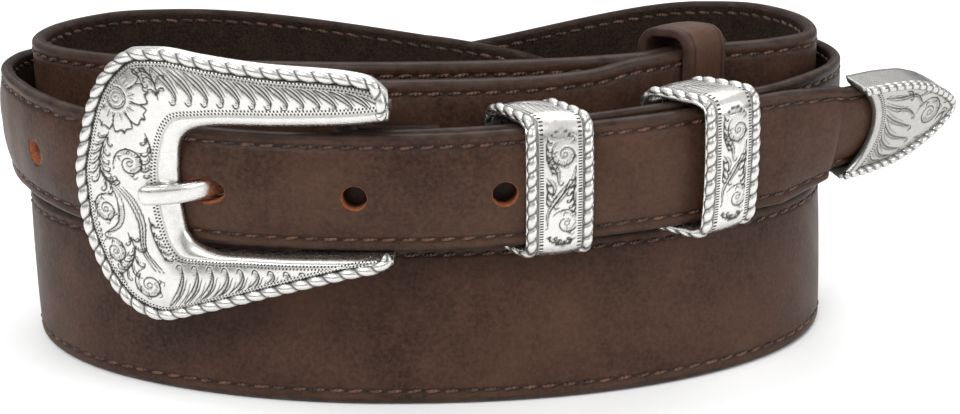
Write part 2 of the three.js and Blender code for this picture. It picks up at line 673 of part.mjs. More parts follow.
const tongue = tongueGeometry();

// Metal tip: a hollow cap with a hollowed mouth. Each row gives a share of its length, its half
// height there as a share of the mouth's, and its thickness likewise.
const tipShape = [
  { share: 0, half: 1, thick: 1 },
  { share: 0.2, half: 1, thick: 1 },
  { share: 0.45, half: 0.95, thick: 0.98 },
  { share: 0.62, half: 0.82, thick: 0.92 },
  { share: 0.77, half: 0.62, thick: 0.84 },
  { share: 0.88, half: 0.42, thick: 0.74 },
  { share: 0.96, half: 0.22, thick: 0.6 },
  { share: 1, half: 0.08, thick: 0.45 },
];
function tipSections() {
  const innerOut = -tipBilletThickness - pieceGap - tipWall;
  const outerOut = tipBilletCrown + pieceGap + tipWall;
  return tipShape.map(({ share, half, thick }) => {
    const { point, outward, height, lean, narrow } = tipRoute.station(tipMouthAt + share * tipLength);
    const h = (billetWidth / 2 * narrow + pieceGap + tipWall) * half;
    const middle = (innerOut + outerOut) / 2;
    const t = (outerOut - innerOut) / 2 * thick;
    const bevel = Math.min(1.2, h * 0.5, t * 0.5);
    return [
      [middle - t, -h + bevel], [middle - t + bevel, -h], [middle + t - bevel * 1.6, -h],
      [middle + t - bevel * 0.6, -h + bevel], [middle + t, 0], [middle + t - bevel * 0.6, h - bevel],
      [middle + t - bevel * 1.6, h], [middle - t + bevel, h], [middle - t, h - bevel],
    ].map(([u, v]) => leaned([u, billetWidth / 2 + v], billetWidth / 2, lean * degree))
      .map(([u, v]) => point.clone().addScaledVector(outward, u).setZ(height + v));
  });
}
const grown = (section) => section.map(([u, v]) => [
  u + pieceGap * Math.sign(u + tipBilletThickness / 2),
  v + pieceGap * Math.sign(v - billetWidth / 2),
]);
const billetSection = strapSection(billetWidth, tipBilletThickness, tipBilletCrown);
const tipPocket = sweep(
  tipRoute.stations(easeEnd, tipBilletEnd + pieceGap, narrowStep),
  grown(billetSection),
);
const mouthRadius = ((billetWidth / 2) ** 2 + tipMouthDepth ** 2) / (2 * tipMouthDepth);
const mouthTool = pinAcross(
  tipRoute, tipMouthAt - mouthRadius + tipMouthDepth, billetWidth / 2, 2 * mouthRadius, -billetWidth, billetWidth / 2,
);
const beltTip = cut(loft(tipSections()), tipPocket, mouthTool);

const belt = new THREE.Group();
function addPiece(name, geometry, color, roughness, metalness) {
  const material = new THREE.MeshStandardMaterial({ color, roughness, metalness });
  const mesh = new THREE.Mesh(geometry, material);
  mesh.name = name;
  belt.add(mesh);
}
const leatherBrown = 0x3a2318;
const loopBrown = 0x4a2c1c;
const silver = 0xb9b7b0;
addPiece('main_strap', mainStrap, leatherBrown, 0.5, 0);
addPiece('tip_billet', tipBillet, leatherBrown, 0.45, 0);
addPiece('buckle_billet', buckleBillet, leatherBrown, 0.45, 0);
addPiece('leather_loop', leatherLoop, loopBrown, 0.5, 0);
addPiece('buckle_frame', buckleFrame, silver, 0.3, 1);
addPiece('buckle_tongue', tongue, silver, 0.25, 1);
metalKeeperSeats.forEach((seat, i) => {
  addPiece(`metal_keeper_${i + 1}`, metalKeeper(seat), silver, 0.3, 1);
});
addPiece('belt_tip', beltTip, silver, 0.3, 1);

// The origin is under the middle of the whole belt, on the surface that it stands on.
const extent = new THREE.Box3().setFromObject(belt);
belt.position.set(
  -(extent.min.x + extent.max.x) / 2,
  -(extent.min.y + extent.max.y) / 2,
  -extent.min.z,
);

export default belt;
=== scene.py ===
import math
import bmesh
import bpy
import numpy as np
from mathutils import Matrix, Vector


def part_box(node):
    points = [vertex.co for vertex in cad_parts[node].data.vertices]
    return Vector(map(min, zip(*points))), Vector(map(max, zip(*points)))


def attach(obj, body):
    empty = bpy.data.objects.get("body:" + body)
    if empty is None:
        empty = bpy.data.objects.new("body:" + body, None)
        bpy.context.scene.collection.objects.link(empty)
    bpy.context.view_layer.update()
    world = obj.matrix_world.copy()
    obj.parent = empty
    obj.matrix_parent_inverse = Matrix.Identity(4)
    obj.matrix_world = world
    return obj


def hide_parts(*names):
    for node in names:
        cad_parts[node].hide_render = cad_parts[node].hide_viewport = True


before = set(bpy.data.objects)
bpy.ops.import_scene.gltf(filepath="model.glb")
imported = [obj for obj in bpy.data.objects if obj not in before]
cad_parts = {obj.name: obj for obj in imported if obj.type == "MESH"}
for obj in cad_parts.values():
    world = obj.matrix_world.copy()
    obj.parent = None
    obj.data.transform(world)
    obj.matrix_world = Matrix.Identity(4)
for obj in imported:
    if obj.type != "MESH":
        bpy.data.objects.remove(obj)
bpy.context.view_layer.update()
bpy.ops.object.select_all(action="DESELECT")
print("frame loaded:", len(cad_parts), "nodes")

mm = 0.001          # the tables below are in millimetres
degree = math.pi / 180

# The coil and its straps, as the part has them
coil = {"halfLength": 104, "halfDepth": 58, "squareness": 2.15}
strap = {"width": 38, "thick": 3.6, "gap": 0.3}
billet = {"width": 27, "tipThick": 3, "tipCrown": 1.2, "buckleThick": 2.6, "buckleCrown": 0.3}
clearance = {"sleeve": 0.55, "sewn": 0.6}


def coilPoint(angle, out):
    # angle 0 is the right end, 90 the back, 180 the left end and 270 the front
    c, s = np.cos(angle * degree), np.sin(angle * degree)
    power = 2 / coil["squareness"]
    point = np.stack([coil["halfLength"] * np.sign(c) * abs(c) ** power,
                      coil["halfDepth"] * np.sign(s) * abs(s) ** power], -1)
    normal = np.stack([np.sign(c) * abs(c) ** (2 - power) / coil["halfLength"],
                       np.sign(s) * abs(s) ** (2 - power) / coil["halfDepth"]], -1)
    normal /= np.linalg.norm(normal, axis=-1, keepdims=True)
    return point + normal * np.asarray(out)[..., None]


def readTable(table, key, column, at):
    # a smooth curve through the rows, without overshoot
    x, y = np.array(table[key], float), np.array(table[column], float)
    slope = np.diff(y) / np.diff(x)
    tangent = np.zeros(len(x))
    both = slope[:-1] * slope[1:] > 0
    total = np.where(both, slope[:-1] + slope[1:], 1)
    tangent[1:-1] = np.where(both, 2 * slope[:-1] * slope[1:] / total, 0)
    at = np.clip(np.asarray(at, float), x[0], x[-1])
    i = np.clip(np.searchsorted(x, at, side="right") - 1, 0, len(x) - 2)
    span = x[i + 1] - x[i]
    t = (at - x[i]) / span
    return (y[i] * (2 * t**3 - 3 * t**2 + 1) + y[i + 1] * (3 * t**2 - 2 * t**3)
            + span * (tangent[i] * (t**3 - 2 * t**2 + t) + tangent[i + 1] * (t**3 - t**2)))


def lengthsAlong(path):
    return np.concatenate([[0], np.cumsum(np.linalg.norm(np.diff(path, axis=0), axis=1))])


class Route:
    # follows a strap's outer face: where it stands, how high its lower edge is and how its foot leans
    def __init__(self, table, straightRuns=()):
        angle = np.arange(table["angle"][0], table["angle"][-1] + 0.01, 0.25)
        self.angle = angle
        self.point = coilPoint(angle, readTable(table, "angle", "out", angle) * coil["halfDepth"])
        self.height = readTable(table, "angle", "height", angle)
        self.lean = readTable(table, "angle", "lean", angle)
        self.narrow = np.ones(len(angle))
        along = self.point[-1] - self.point[-5]
        along /= np.linalg.norm(along)
        for run in straightRuns:
            self.point = np.vstack([self.point, self.point[-1] + along * run["run"]])
            self.height = np.append(self.height, self.height[-1] + run["rise"])
            self.lean = np.append(self.lean, run["lean"])
            self.narrow = np.append(self.narrow, run["narrow"])
        self.at = lengthsAlong(self.point)
        self.length = self.at[-1]

    def lengthAt(self, angle):
        return float(np.interp(angle, self.angle, self.at[:len(self.angle)]))

    def station(self, s):
        s = np.asarray(s, float)
        read = lambda values, at: np.interp(at, self.at, values)
        low, high = np.clip(s - 2, 0, self.length), np.clip(s + 2, 0, self.length)
        x, y = read(self.point[:, 0], s), read(self.point[:, 1], s)
        along = np.stack([read(self.point[:, 0], high) - read(self.point[:, 0], low),
                          read(self.point[:, 1], high) - read(self.point[:, 1], low)], -1)
        along /= np.linalg.norm(along, axis=-1, keepdims=True)
        # past either end the route runs on straight
        past = (s - np.clip(s, 0, self.length))[..., None]
        point = np.stack([x, y], -1) + along * past
        outward = np.stack([along[..., 1], -along[..., 0]], -1)
        rise = (read(self.height, high) - read(self.height, low)) / (high - low)
        return point, along, outward, read(self.height, s), read(self.lean, s), rise, read(self.narrow, s)

    def stationAt(self, s):
        # the same at a single length
        return [values[0] for values in self.station(np.array([s]))]

    def place(self, s, u, v):
        # a point u out from the outer face and v up from the lower edge, with no lean or draw
        point, along, outward, height, lean, rise, narrow = self.station(s)
        u, v = np.asarray(u, float), np.asarray(v, float)
        flat = point + outward * u[..., None]
        return np.concatenate([flat, (height + v)[..., None]], -1)

    def spot(self, s, u, v):
        return self.place(np.array([s]), np.array([u]), np.array([v]))[0]

    def surface(self, s, u, v, middle):
        # as place, but drawn out on a slope and leaned as the strap is
        point, along, outward, height, lean, rise, narrow = self.station(s)
        tilt = lean * degree
        drawn = np.hypot(1, rise) * narrow
        up = middle + (v - middle) * drawn
        across = u * np.cos(tilt) + (2 * middle - up) * np.sin(tilt)
        high = up * np.cos(tilt) + u * np.sin(tilt)
        return point + outward * across[..., None], height, high, tilt


upperTurn = strap["width"] + strap["gap"]
buckleEnd = upperTurn - 2
loopStack = (strap["thick"] + clearance["sleeve"]) / coil["halfDepth"]
mainTable = {
    "angle": [258, 280, 292, 301, 309, 317, 332, 348, 385, 400, 442, 495, 510, 532, 590, 630, 680, 720,
              742, 755, 802, 855, 872, 900, 945, 975, 1021, 1029, 1037, 1046],
    "out": [-0.0879, -0.0879, -0.1034, -0.1552, -0.2069, -0.231, -0.1379, -0.0448, -0.0345, -0.0517,
            -0.0517, -0.0345, 0, 0, -0.0103, -0.0155, -0.0103, 0, -0.1121, -0.1379, -0.1552, -0.1276,
            -0.0931, -0.069, -0.1897, -0.2517, -0.1621 - loopStack, -0.2069 - loopStack,
            -0.231 - loopStack, -0.2345 - loopStack],
    "height": [buckleEnd, buckleEnd, buckleEnd + 0.6] + [upperTurn] * 6
              + [upperTurn * share for share in (0.97, 0.6, 0.03)] + [0] * 7
              + [upperTurn * share for share in (0.03, 0.6, 0.97)] + [upperTurn] * 8,
    "lean": [0] * 14 + [8, 13, 9, 2] + [0] * 12,
}
mainRoute = Route(mainTable)
mainOutAt = lambda angle: float(readTable(mainTable, "angle", "out", angle))

billetHeight = strap["width"] + 1
tipSeat = (billet["tipThick"] + clearance["sewn"]) / coil["halfDepth"]
tipRises = [0.03, 0.067, 0.111, 0.148, 0.17, 0.178, 0.163, 0.126, 0.074, 0.019, 0, 0.052, 0.081, 0.126,
            0.148]
tipTable = {
    "angle": [145, 155, 165, 178, 194, 206, 217, 229, 240, 255, 270, 290, 301, 312, 318],
    "out": [mainOutAt(865) + tipSeat, mainOutAt(875) + tipSeat, 0.0276, 0.0621, 0.0621, 0.0862, 0.1379,
            0.1897, 0.1897, 0.1759, 0.169, 0.169, 0.169, 0.1828, 0.2069],
    "height": [billetHeight + rise * billet["width"] for rise in tipRises],
    "lean": [0] * 15,
}
tipEnd = {"free": 56, "narrow": 0.8, "rise": 2.6, "lean": -17, "ease": 3, "entry": 0.6, "length": 37,
          "mouth": 8, "wall": 1.2, "sleeve": 0.42}
tipRoute = Route(tipTable, [
    {"run": tipEnd["free"] - tipEnd["length"] - tipEnd["entry"] - tipEnd["ease"],
     "rise": tipEnd["rise"] * 0.3, "lean": tipEnd["lean"] * 0.3, "narrow": 0.86},
    {"run": tipEnd["ease"], "rise": tipEnd["rise"] * 0.1, "lean": tipEnd["lean"] * 0.8,
     "narrow": tipEnd["narrow"]},
    {"run": tipEnd["entry"] + tipEnd["length"], "rise": tipEnd["rise"] * 0.6, "lean": tipEnd["lean"],
     "narrow": tipEnd["narrow"]},
])

underTip = billet["tipThick"] + clearance["sleeve"]
under = underTip / coil["halfDepth"]
buckleSeat = (billet["buckleThick"] + clearance["sewn"]) / coil["halfDepth"]
buckleRises = [0, 0.022, 0.081, 0.126, 0.163, 0.17, 0.156, 0.133, 0.111, 0.074, -0.037]
buckleTable = {
    "angle": [263.5, 280, 290, 301, 315, 328, 345, 362, 384, 400, 412],
    "out": [0.1724 - under, 0.169 - under, 0.169 - under, 0.169 - under, 0.1828 - under, 0.0931, 0.069,
            0.0517, mainOutAt(384) + buckleSeat, mainOutAt(400) + buckleSeat, mainOutAt(412) + buckleSeat],
    "height": [billetHeight + rise * billet["width"] for rise in buckleRises],
    "lean": [0] * 11,
}
buckleRoute = Route(buckleTable)


def strapRings(route, at, profile, middle):
    # rings of points along a route, leaned and drawn out as the strap is
    rings = []
    for u, v in profile:
        flat, height, high, tilt = route.surface(at, u, v, middle)
        rings.append(np.concatenate([flat, (height + high)[:, None]], 1))
    rings = np.stack(rings, 1)
    low = rings[:, :, 2].min(1) - route.station(at)[3]
    leaned = route.station(at)[4] > 0
    rings[:, :, 2] -= np.where(leaned, low, 0)[:, None]
    return rings


# The coil's middle lies where the main strap's own box says
nodeLow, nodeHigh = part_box("main_strap")
inmost, upmost, cutOff = -strap["thick"], strap["width"], 1
plainProfile = [(0, cutOff), (-cutOff, 0), (inmost + cutOff, 0), (inmost, cutOff), (inmost, upmost - cutOff),
                (0, upmost - cutOff)]
plainRings = strapRings(mainRoute, np.linspace(0, mainRoute.length, 160), plainProfile, upmost / 2)
boxMiddle = (np.array(nodeLow) + np.array(nodeHigh)) / 2 / mm
ownMiddle = (plainRings.reshape(-1, 3).min(0) + plainRings.reshape(-1, 3).max(0)) / 2
coilCentre = (boxMiddle - ownMiddle) * [1, 1, 0]
print("coil centre in mm:", coilCentre.round(2))


# Mesh makers
def pick(piece):
    bpy.ops.object.select_all(action="DESELECT")
    piece.select_set(True)
    bpy.context.view_layer.objects.active = piece


def newPiece(name, points, faces, materials, replaced=(), uvs=None, marks=None, angle=None):
    # points are millimetres from the coil's middle
    mesh = bpy.data.meshes.new(name)
    mesh.from_pydata(((np.asarray(points) + coilCentre) * mm).tolist(), [], faces)
    piece = bpy.data.objects.new(name, mesh)
    bpy.context.scene.collection.objects.link(piece)
    if uvs is not None:
        layer = mesh.uv_layers.new(name="along")
        layer.data.foreach_set("uv", np.asarray(uvs, np.float32).ravel())
    for key, values in (marks or {}).items():
        layer = mesh.attributes.new(key, "FLOAT", "POINT")
        layer.data.foreach_set("value", np.asarray(values, np.float32).ravel())
    work = bmesh.new()
    work.from_mesh(mesh)
    bmesh.ops.recalc_face_normals(work, faces=work.faces)
    if work.calc_volume(signed=True) < 0:
        bmesh.ops.reverse_faces(work, faces=work.faces)
    work.to_mesh(mesh)
    work.free()
    mesh.shade_smooth()
    if angle is not None:
        pick(piece)
        bpy.ops.object.shade_smooth_by_angle(angle=angle * degree)
    for material in materials:
        mesh.materials.append(material)
    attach(piece, "root")
    if replaced:
        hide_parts(*replaced)
    return piece


def loftFaces(rows, columns, closed=False):
    # quads between rings of points that follow one another, with capped ends unless the loft is closed
    faces = []
    for i in range(rows if closed else rows - 1):
        here, there = i * columns, (i + 1) % rows * columns
        for j in range(columns):
            k = (j + 1) % columns
            faces.append((here + j, here + k, there + k, there + j))
    if not closed:
        faces.append(tuple(range(columns)))
        faces.append(tuple(range((rows - 1) * columns, rows * columns)))
    return faces


def addPart(points, faces, morePoints, moreFaces):
    # joins a second closed shape to a first one in the same mesh
    shifted = [tuple(len(points) + corner for corner in face) for face in moreFaces]
    return np.concatenate([points, morePoints]), faces + shifted


def loftUvs(faces, rows, columns, alongAt, acrossAt, total):
    # UV in metres: along the piece and across it, with the last column running on to the full girth
    flat = np.array([k for face in faces for k in face])
    size = np.array([len(face) for face in faces])
    start = np.concatenate([[0], np.cumsum(size)[:-1]])
    row, column = flat // columns, flat % columns
    across = np.asarray(acrossAt, float)[column]
    owner = np.repeat(np.arange(len(faces)), size)
    touchesLast = np.zeros(len(faces), bool)
    np.logical_or.at(touchesLast, owner, column == columns - 1)
    quad = size[owner] == 4
    across = np.where(quad & touchesLast[owner] & (column == 0), total, across)
    return np.stack([np.asarray(alongAt, float)[row] * mm, across * mm], 1)


def girth(profile):
    profile = np.asarray(profile, float)
    steps = np.linalg.norm(np.diff(np.vstack([profile, profile[:1]]), axis=0), axis=1)
    return np.concatenate([[0], np.cumsum(steps)[:-1]]), steps.sum()


# Shader maths
class Wire:
    def __init__(self, finish, socket):
        self.finish = finish
        self.socket = socket

    def math(self, operation, first, second):
        return self.finish.node("ShaderNodeMath", {"operation": operation}, {0: first, 1: second})

    def __add__(self, other):
        return self.math("ADD", self, other)

    def __radd__(self, other):
        return self.math("ADD", other, self)

    def __sub__(self, other):
        return self.math("SUBTRACT", self, other)

    def __rsub__(self, other):
        return self.math("SUBTRACT", other, self)

    def __mul__(self, other):
        return self.math("MULTIPLY", self, other)

    def __rmul__(self, other):
        return self.math("MULTIPLY", other, self)


class Finish:
    # one material: a Principled shader, and the nodes that vary it over the surface
    def __init__(self, name, fixed):
        self.material = bpy.data.materials.new(name)
        self.material.use_nodes = True
        self.tree = self.material.node_tree
        self.tree.nodes.clear()
        self.shader = self.tree.nodes.new("ShaderNodeBsdfPrincipled")
        output = self.tree.nodes.new("ShaderNodeOutputMaterial")
        self.tree.links.new(self.shader.outputs[0], output.inputs["Surface"])
        for key, value in fixed.items():
            self.shader.inputs[key].default_value = value

    def node(self, kind, settings=None, values=None, out=0):
        made = self.tree.nodes.new(kind)
        for key, value in (settings or {}).items():
            setattr(made, key, value)
        for key, value in (values or {}).items():
            if isinstance(value, Wire):
                self.tree.links.new(value.socket, made.inputs[key])
            else:
                made.inputs[key].default_value = value
        return Wire(self, made.outputs[out])

    def mark(self, name):
        return self.node("ShaderNodeAttribute", {"attribute_name": name}, out="Fac")

    def objectPlace(self):
        return self.node("ShaderNodeTexCoord", out="Object")

    def noise(self, scale, detail=3, roughness=0.55, place=None):
        return self.node("ShaderNodeTexNoise", None, {
            "Vector": place or self.objectPlace(), "Scale": scale, "Detail": detail, "Roughness": roughness})

    def range(self, value, low, high, toLow=0.0, toHigh=1.0):
        return self.node("ShaderNodeMapRange", {"clamp": True}, {
            "Value": value, "From Min": low, "From Max": high, "To Min": toLow, "To Max": toHigh})

    def mix(self, factor, first, second):
        asColour = lambda value: value if isinstance(value, Wire) else (*value, 1)
        return self.node("ShaderNodeMix", {"data_type": "RGBA"}, {
            0: factor, 6: asColour(first), 7: asColour(second)}, out=2)

    def bump(self, height, distance, strength=1.0, under=None):
        values = {"Height": height, "Distance": distance, "Strength": strength}
        if under is not None:
            values["Normal"] = under
        return self.node("ShaderNodeBump", None, values)

    def feed(self, socket, wire):
        self.tree.links.new(wire.socket, self.shader.inputs[socket])


# Leather, thread and silver
def leatherFinish(name, tint):
    finish = Finish(name, {"Specular IOR Level": 0.12, "Coat Roughness": 0.3})
    edge, inside, groove = (finish.mark(key) for key in ("edge", "inside", "groove"))
    cloudy = finish.range(finish.noise(38, 6, 0.62), 0.32, 0.68)
    mottle = finish.range(finish.noise(900, 3, 0.7), 0.35, 0.68)
    smooth = finish.mix(cloudy, tint["deep"], tint["light"])
    smooth = finish.mix(mottle * 0.35, smooth, tint["speck"])
    # painted shade: the leather is darkened towards the dark tint along the stitch grooves and the loop's
    # creases
    smooth = finish.mix(groove * 0.75, smooth, tint["dark"])
    fleck = finish.range(finish.noise(1400, 4, 0.75), 0.4, 0.72)
    patch = finish.range(finish.noise(160, 4, 0.7), 0.35, 0.7)
    suede = finish.mix(patch, tint["suedeDeep"], tint["suede"])
    suede = finish.mix(fleck * 0.6, suede, tint["suedeFleck"])
    colour = finish.mix(inside, smooth, suede)
    streak = finish.range(finish.noise(240, 3, 0.6), 0.3, 0.7)
    colour = finish.mix(edge, colour, finish.mix(streak, tint["edgeDeep"], tint["edge"]))
    if tint.get("holes"):
        # the raw ring round each hole, by its distance on the strap's own UV map
        place = finish.node("ShaderNodeUVMap", {"uv_map": "along"})
        near = None
        for along, across, stretch in tint["holes"]:
            squeeze = finish.node("ShaderNodeVectorMath", {"operation": "MULTIPLY"}, {
                0: place, 1: (1 / stretch, 1, 0)}, out="Vector")
            gap = finish.node("ShaderNodeVectorMath", {"operation": "DISTANCE"}, {
                0: squeeze, 1: (along * mm / stretch, across * mm, 0)}, out="Value")
            near = gap if near is None else near.math("MINIMUM", near, gap)
        ragged = near + (finish.noise(1800, 2) - 0.5) * 0.0006
        rim = finish.range(ragged, tint["holeRadius"] * mm, (tint["holeRadius"] + 0.2) * mm, 1.0, 0.0)
        rim = rim * (1 - inside)
        colour = finish.mix(rim * 0.9, colour, tint["raw"])
    finish.feed("Base Color", colour)
    dull = finish.range(finish.noise(120, 3), 0.3, 0.7, tint["gloss"] - 0.05, tint["gloss"] + 0.07)
    finish.feed("Roughness", (dull * (1 - inside) + inside * 0.93) * (1 - edge) + edge * 0.42)
    finish.feed("Coat Weight", (1 - inside) * 0.04)
    grain = finish.node("ShaderNodeTexVoronoi", {"feature": "SMOOTH_F1"}, {
        "Vector": finish.objectPlace(), "Scale": 1300.0, "Smoothness": 0.6}, out="Distance")
    skin = (finish.noise(2600, 3, 0.6) * 0.5 + grain * 0.5) * (1 - inside) * (1 - edge * 0.8)
    nap = finish.noise(900, 5, 0.8) * inside
    pressed = finish.bump(skin, 0.00016, 0.55)
    finish.feed("Normal", finish.bump(nap, 0.0012, 0.9, pressed))
    return finish.material


holes = {"diameter": 5.6, "spacing": 33, "outerShift": 16, "up": 0.48, "slotLength": 9.5, "slotShift": -0.6}
buckle = {
    "length": 73, "height": 63, "openingHeight": 30, "openingReach": 0.64, "armPastBar": 9.5, "rise": 1.6,
    "barDiameter": 3, "holeInset": 5.5, "heelAngle": 263.5,
}
frameEndAt = tipRoute.lengthAt(buckle["heelAngle"]) + buckle["armPastBar"]
tongueHoleAt = frameEndAt - buckle["openingReach"] * buckle["length"] + buckle["holeInset"]
holePlaces = [tongueHoleAt + i * holes["spacing"] - (holes["outerShift"] if i < 0 else 0)
              for i in (-2, -1, 1, 2)]
holeUp = billet["width"] * holes["up"]
# where each hole is cut and how far it is drawn out; the tongue's own hole is a slot
holeCuts = [(at, 1) for at in holePlaces]
holeCuts.append((tongueHoleAt + holes["slotShift"], holes["slotLength"] / holes["diameter"]))

# dark is the painted shade in the stitch grooves and creases
leatherTint = {
    "deep": (0.017, 0.007, 0.004), "light": (0.06, 0.0285, 0.0175), "speck": (0.105, 0.058, 0.037),
    "dark": (0.012, 0.006, 0.004), "suedeDeep": (0.008, 0.0045, 0.003), "suede": (0.024, 0.014, 0.009),
    "suedeFleck": (0.075, 0.046, 0.031), "edgeDeep": (0.018, 0.0095, 0.007), "edge": (0.05, 0.031, 0.024),
    "gloss": 0.46,
}
strapLeather = leatherFinish("strapLeather", leatherTint)
# the buckle billet gets the same leather painted about half as bright: painted shade where it lies behind the
# tip billet
billetLeatherShaded = leatherFinish("billetLeatherShaded", {
    **leatherTint, "deep": (0.008, 0.0035, 0.002), "light": (0.028, 0.013, 0.008),
    "speck": (0.05, 0.028, 0.018),
})
billetLeather = leatherFinish("billetLeather", {
    **leatherTint, "raw": (0.2, 0.055, 0.016), "holeRadius": holes["diameter"] / 2,
    "holes": [(at, holeUp, stretch) for at, stretch in holeCuts],
})
loopLeather = leatherFinish("loopLeather", {
    **leatherTint, "deep": (0.045, 0.02, 0.012), "light": (0.085, 0.042, 0.026),
    "edgeDeep": (0.03, 0.016, 0.011), "edge": (0.06, 0.034, 0.025), "gloss": 0.36,
})


def rawFinish():
    finish = Finish("rawLeather", {"Roughness": 0.8})
    fibre = finish.range(finish.noise(1600, 4, 0.7), 0.3, 0.7)
    finish.feed("Base Color", finish.mix(fibre, (0.09, 0.024, 0.008), (0.36, 0.1, 0.027)))
    finish.feed("Normal", finish.bump(finish.noise(2200, 3), 0.0003, 0.8))
    return finish.material


def threadFinish():
    finish = Finish("waxedThread", {"Roughness": 0.5, "Specular IOR Level": 0.5})
    patch = finish.range(finish.noise(420, 2, 0.6), 0.35, 0.65)
    finish.feed("Base Color", finish.mix(patch, (0.014, 0.0055, 0.0035), (0.13, 0.056, 0.034)))
    place = finish.node("ShaderNodeUVMap", {"uv_map": "along"})
    twist = finish.node("ShaderNodeTexWave", {"bands_direction": "DIAGONAL"}, {
        "Vector": place, "Scale": 640.0, "Distortion": 0.3}, out="Fac")
    finish.feed("Normal", finish.bump(twist, 0.00025, 1.0))
    return finish.material


rawLeather = rawFinish()
waxedThread = threadFinish()
print("leather finishes made")


class StrapShape:
    # a strap's section with its padding, stitch grooves and rounded edges, along its route
    def __init__(self, route, width, thick, crown, looks):
        self.route, self.width, self.thick, self.crown = route, width, thick, crown
        self.stitch, self.groove, self.shoulder = looks["stitch"], looks["groove"], looks["shoulder"]
        self.round = thick * looks["round"]
        self.middle = width / 2

    def outerAt(self, v):
        v = np.asarray(v, float)
        nearest = np.minimum(v, self.width - v)
        share = np.clip((nearest - self.stitch) / (self.width / 2 - self.stitch), 0, 1)
        dome = self.crown * (1 - (1 - share) ** self.shoulder)
        return dome - self.groove * np.exp(-((nearest - self.stitch) / 0.5) ** 2)

    def innerAt(self, v):
        nearest = np.minimum(v, self.width - np.asarray(v, float))
        return -self.thick + self.groove * 0.7 * np.exp(-((nearest - self.stitch) / 0.5) ** 2)

    def profile(self, wide, fine):
        # u, v and the marks of each point, from the outer face's lower end round to the lower edge
        line = self.stitch + np.array([-3, -2, -1, 0, 1, 2, 3]) * fine
        field = np.arange(self.stitch + 4 * fine + wide * 0.5, self.width - self.stitch - 4 * fine, wide)
        v = np.concatenate([[self.round], line, field, self.width - line[::-1], [self.width - self.round]])
        turn = np.linspace(0, math.pi / 2, 6)[1:]
        top = self.width - self.round
        arc = [(-self.round * (1 - math.cos(a)), top + self.round * math.sin(a)) for a in turn]
        back = [(-self.thick - u, w) for u, w in arc[::-1]]
        outer = [(float(self.outerAt(x)) if self.round < x < top else 0.0, x) for x in v]
        inner = [(float(self.innerAt(x)) if self.round < x < top else -self.thick, x) for x in v[::-1]]
        low = [(u, self.width - w) for u, w in (arc + back)[::-1]]
        # a lower edge is the upper one turned over, from the inner face back to the outer one
        points = outer + arc + back + inner + low
        edge = [0.0] * len(outer) + [1.0] * (2 * len(arc)) + [0.0] * len(inner) + [1.0] * (2 * len(arc))
        hidden = 2 * len(arc) + len(inner)
        inside = [0.0] * (len(outer) + len(arc)) + [1.0] * hidden + [0.0] * len(arc)
        nearest = [min(w, self.width - w) for u, w in points]
        # the groove mark places painted shade along the stitch lines
        groove = [math.exp(-((d - self.stitch) / 0.55) ** 2) for d in nearest]
        return np.array(points), edge, inside, groove

    def drop(self, at):
        # a leaning strap keeps its lowest point at its height
        point, along, outward, height, lean, rise, narrow = self.route.station(at)
        low = [(-self.thick + self.round, 0), (-self.round, 0), (0, self.round), (-self.thick, self.round)]
        highs = []
        for u, v in low:
            flat, level, high, tilt = self.route.surface(at, u, v, self.middle)
            highs.append(high)
        return np.where(lean > 0, np.min(highs, 0), 0)

    def points(self, at, u, v):
        at, u, v = np.broadcast_arrays(np.asarray(at, float), np.asarray(u, float), np.asarray(v, float))
        flat, level, high, tilt = self.route.surface(at, u, v, self.middle)
        return np.concatenate([flat, (level + high - self.drop(at))[..., None]], -1)

    def build(self, name, step, wide, fine, materials, replaced, end=None, curl=None):
        # step is along the strap, wide and fine are across its field and its stitch grooves
        end = self.route.length if end is None else end
        at = np.linspace(0, end, int(end / step) + 1)
        points, edge, inside, groove = self.profile(wide, fine)
        rings = self.points(at[:, None], points[None, :, 0], points[None, :, 1])
        if curl is not None:
            turned = curl(points)
            rings = np.concatenate([turned, rings[1:]], 0)
            at = np.concatenate([at[0] - np.arange(len(turned), 0, -1) * step, at[1:]])
        rows, columns = len(rings), len(points)
        faces = loftFaces(rows, columns)
        around, total = girth(points)
        around = around + self.round
        outerCount = int(np.argmax(np.array(edge) > 0))
        around[:outerCount] = points[:outerCount, 1]
        uvs = loftUvs(faces, rows, columns, at, around, total + self.round)
        repeated = lambda values: np.tile(values, rows)
        marks = {"edge": repeated(edge), "inside": repeated(inside), "groove": repeated(groove)}
        ends = np.zeros((rows, columns))
        ends[0] = ends[-1] = 1
        marks["edge"] = np.maximum(marks["edge"], ends.ravel())
        return newPiece(name, rings.reshape(-1, 3), faces, materials, replaced, uvs, marks)


strapLooks = {"stitch": 3.0, "groove": 0.3, "shoulder": 2.4, "round": 0.4, "crown": 0.25}
billetLooks = {"stitch": 2.9, "groove": 0.4, "shoulder": 2.6, "round": 0.42}
mainShape = StrapShape(mainRoute, strap["width"], strap["thick"], strapLooks["crown"], strapLooks)
mainStrap = mainShape.build("wide_strap", step=1.25, wide=2.0, fine=0.42,
                            materials=[strapLeather], replaced=["main_strap"])
print("wide strap made:", len(mainStrap.data.polygons), "faces")

tipMouthAt = tipRoute.length - tipEnd["length"]
tipBilletEnd = tipMouthAt + tipEnd["length"] * tipEnd["sleeve"]
tipShape = StrapShape(tipRoute, billet["width"], billet["tipThick"], billet["tipCrown"], billetLooks)
tipBillet = tipShape.build("tip_billet_leather", step=1.0, wide=1.3, fine=0.42,
                           materials=[billetLeather, rawLeather], replaced=["tip_billet"], end=tipBilletEnd)


def cutWith(piece, cutter):
    pick(piece)
    cut = piece.modifiers.new("cut", "BOOLEAN")
    cut.operation = "DIFFERENCE"
    cut.solver = "EXACT"
    cut.object = cutter
    bpy.ops.object.modifier_apply(modifier=cut.name)
    bpy.data.objects.remove(cutter)


def holeMiddle(at):
    return (tipRoute.spot(at, -1.0, holeUp) + coilCentre) * mm


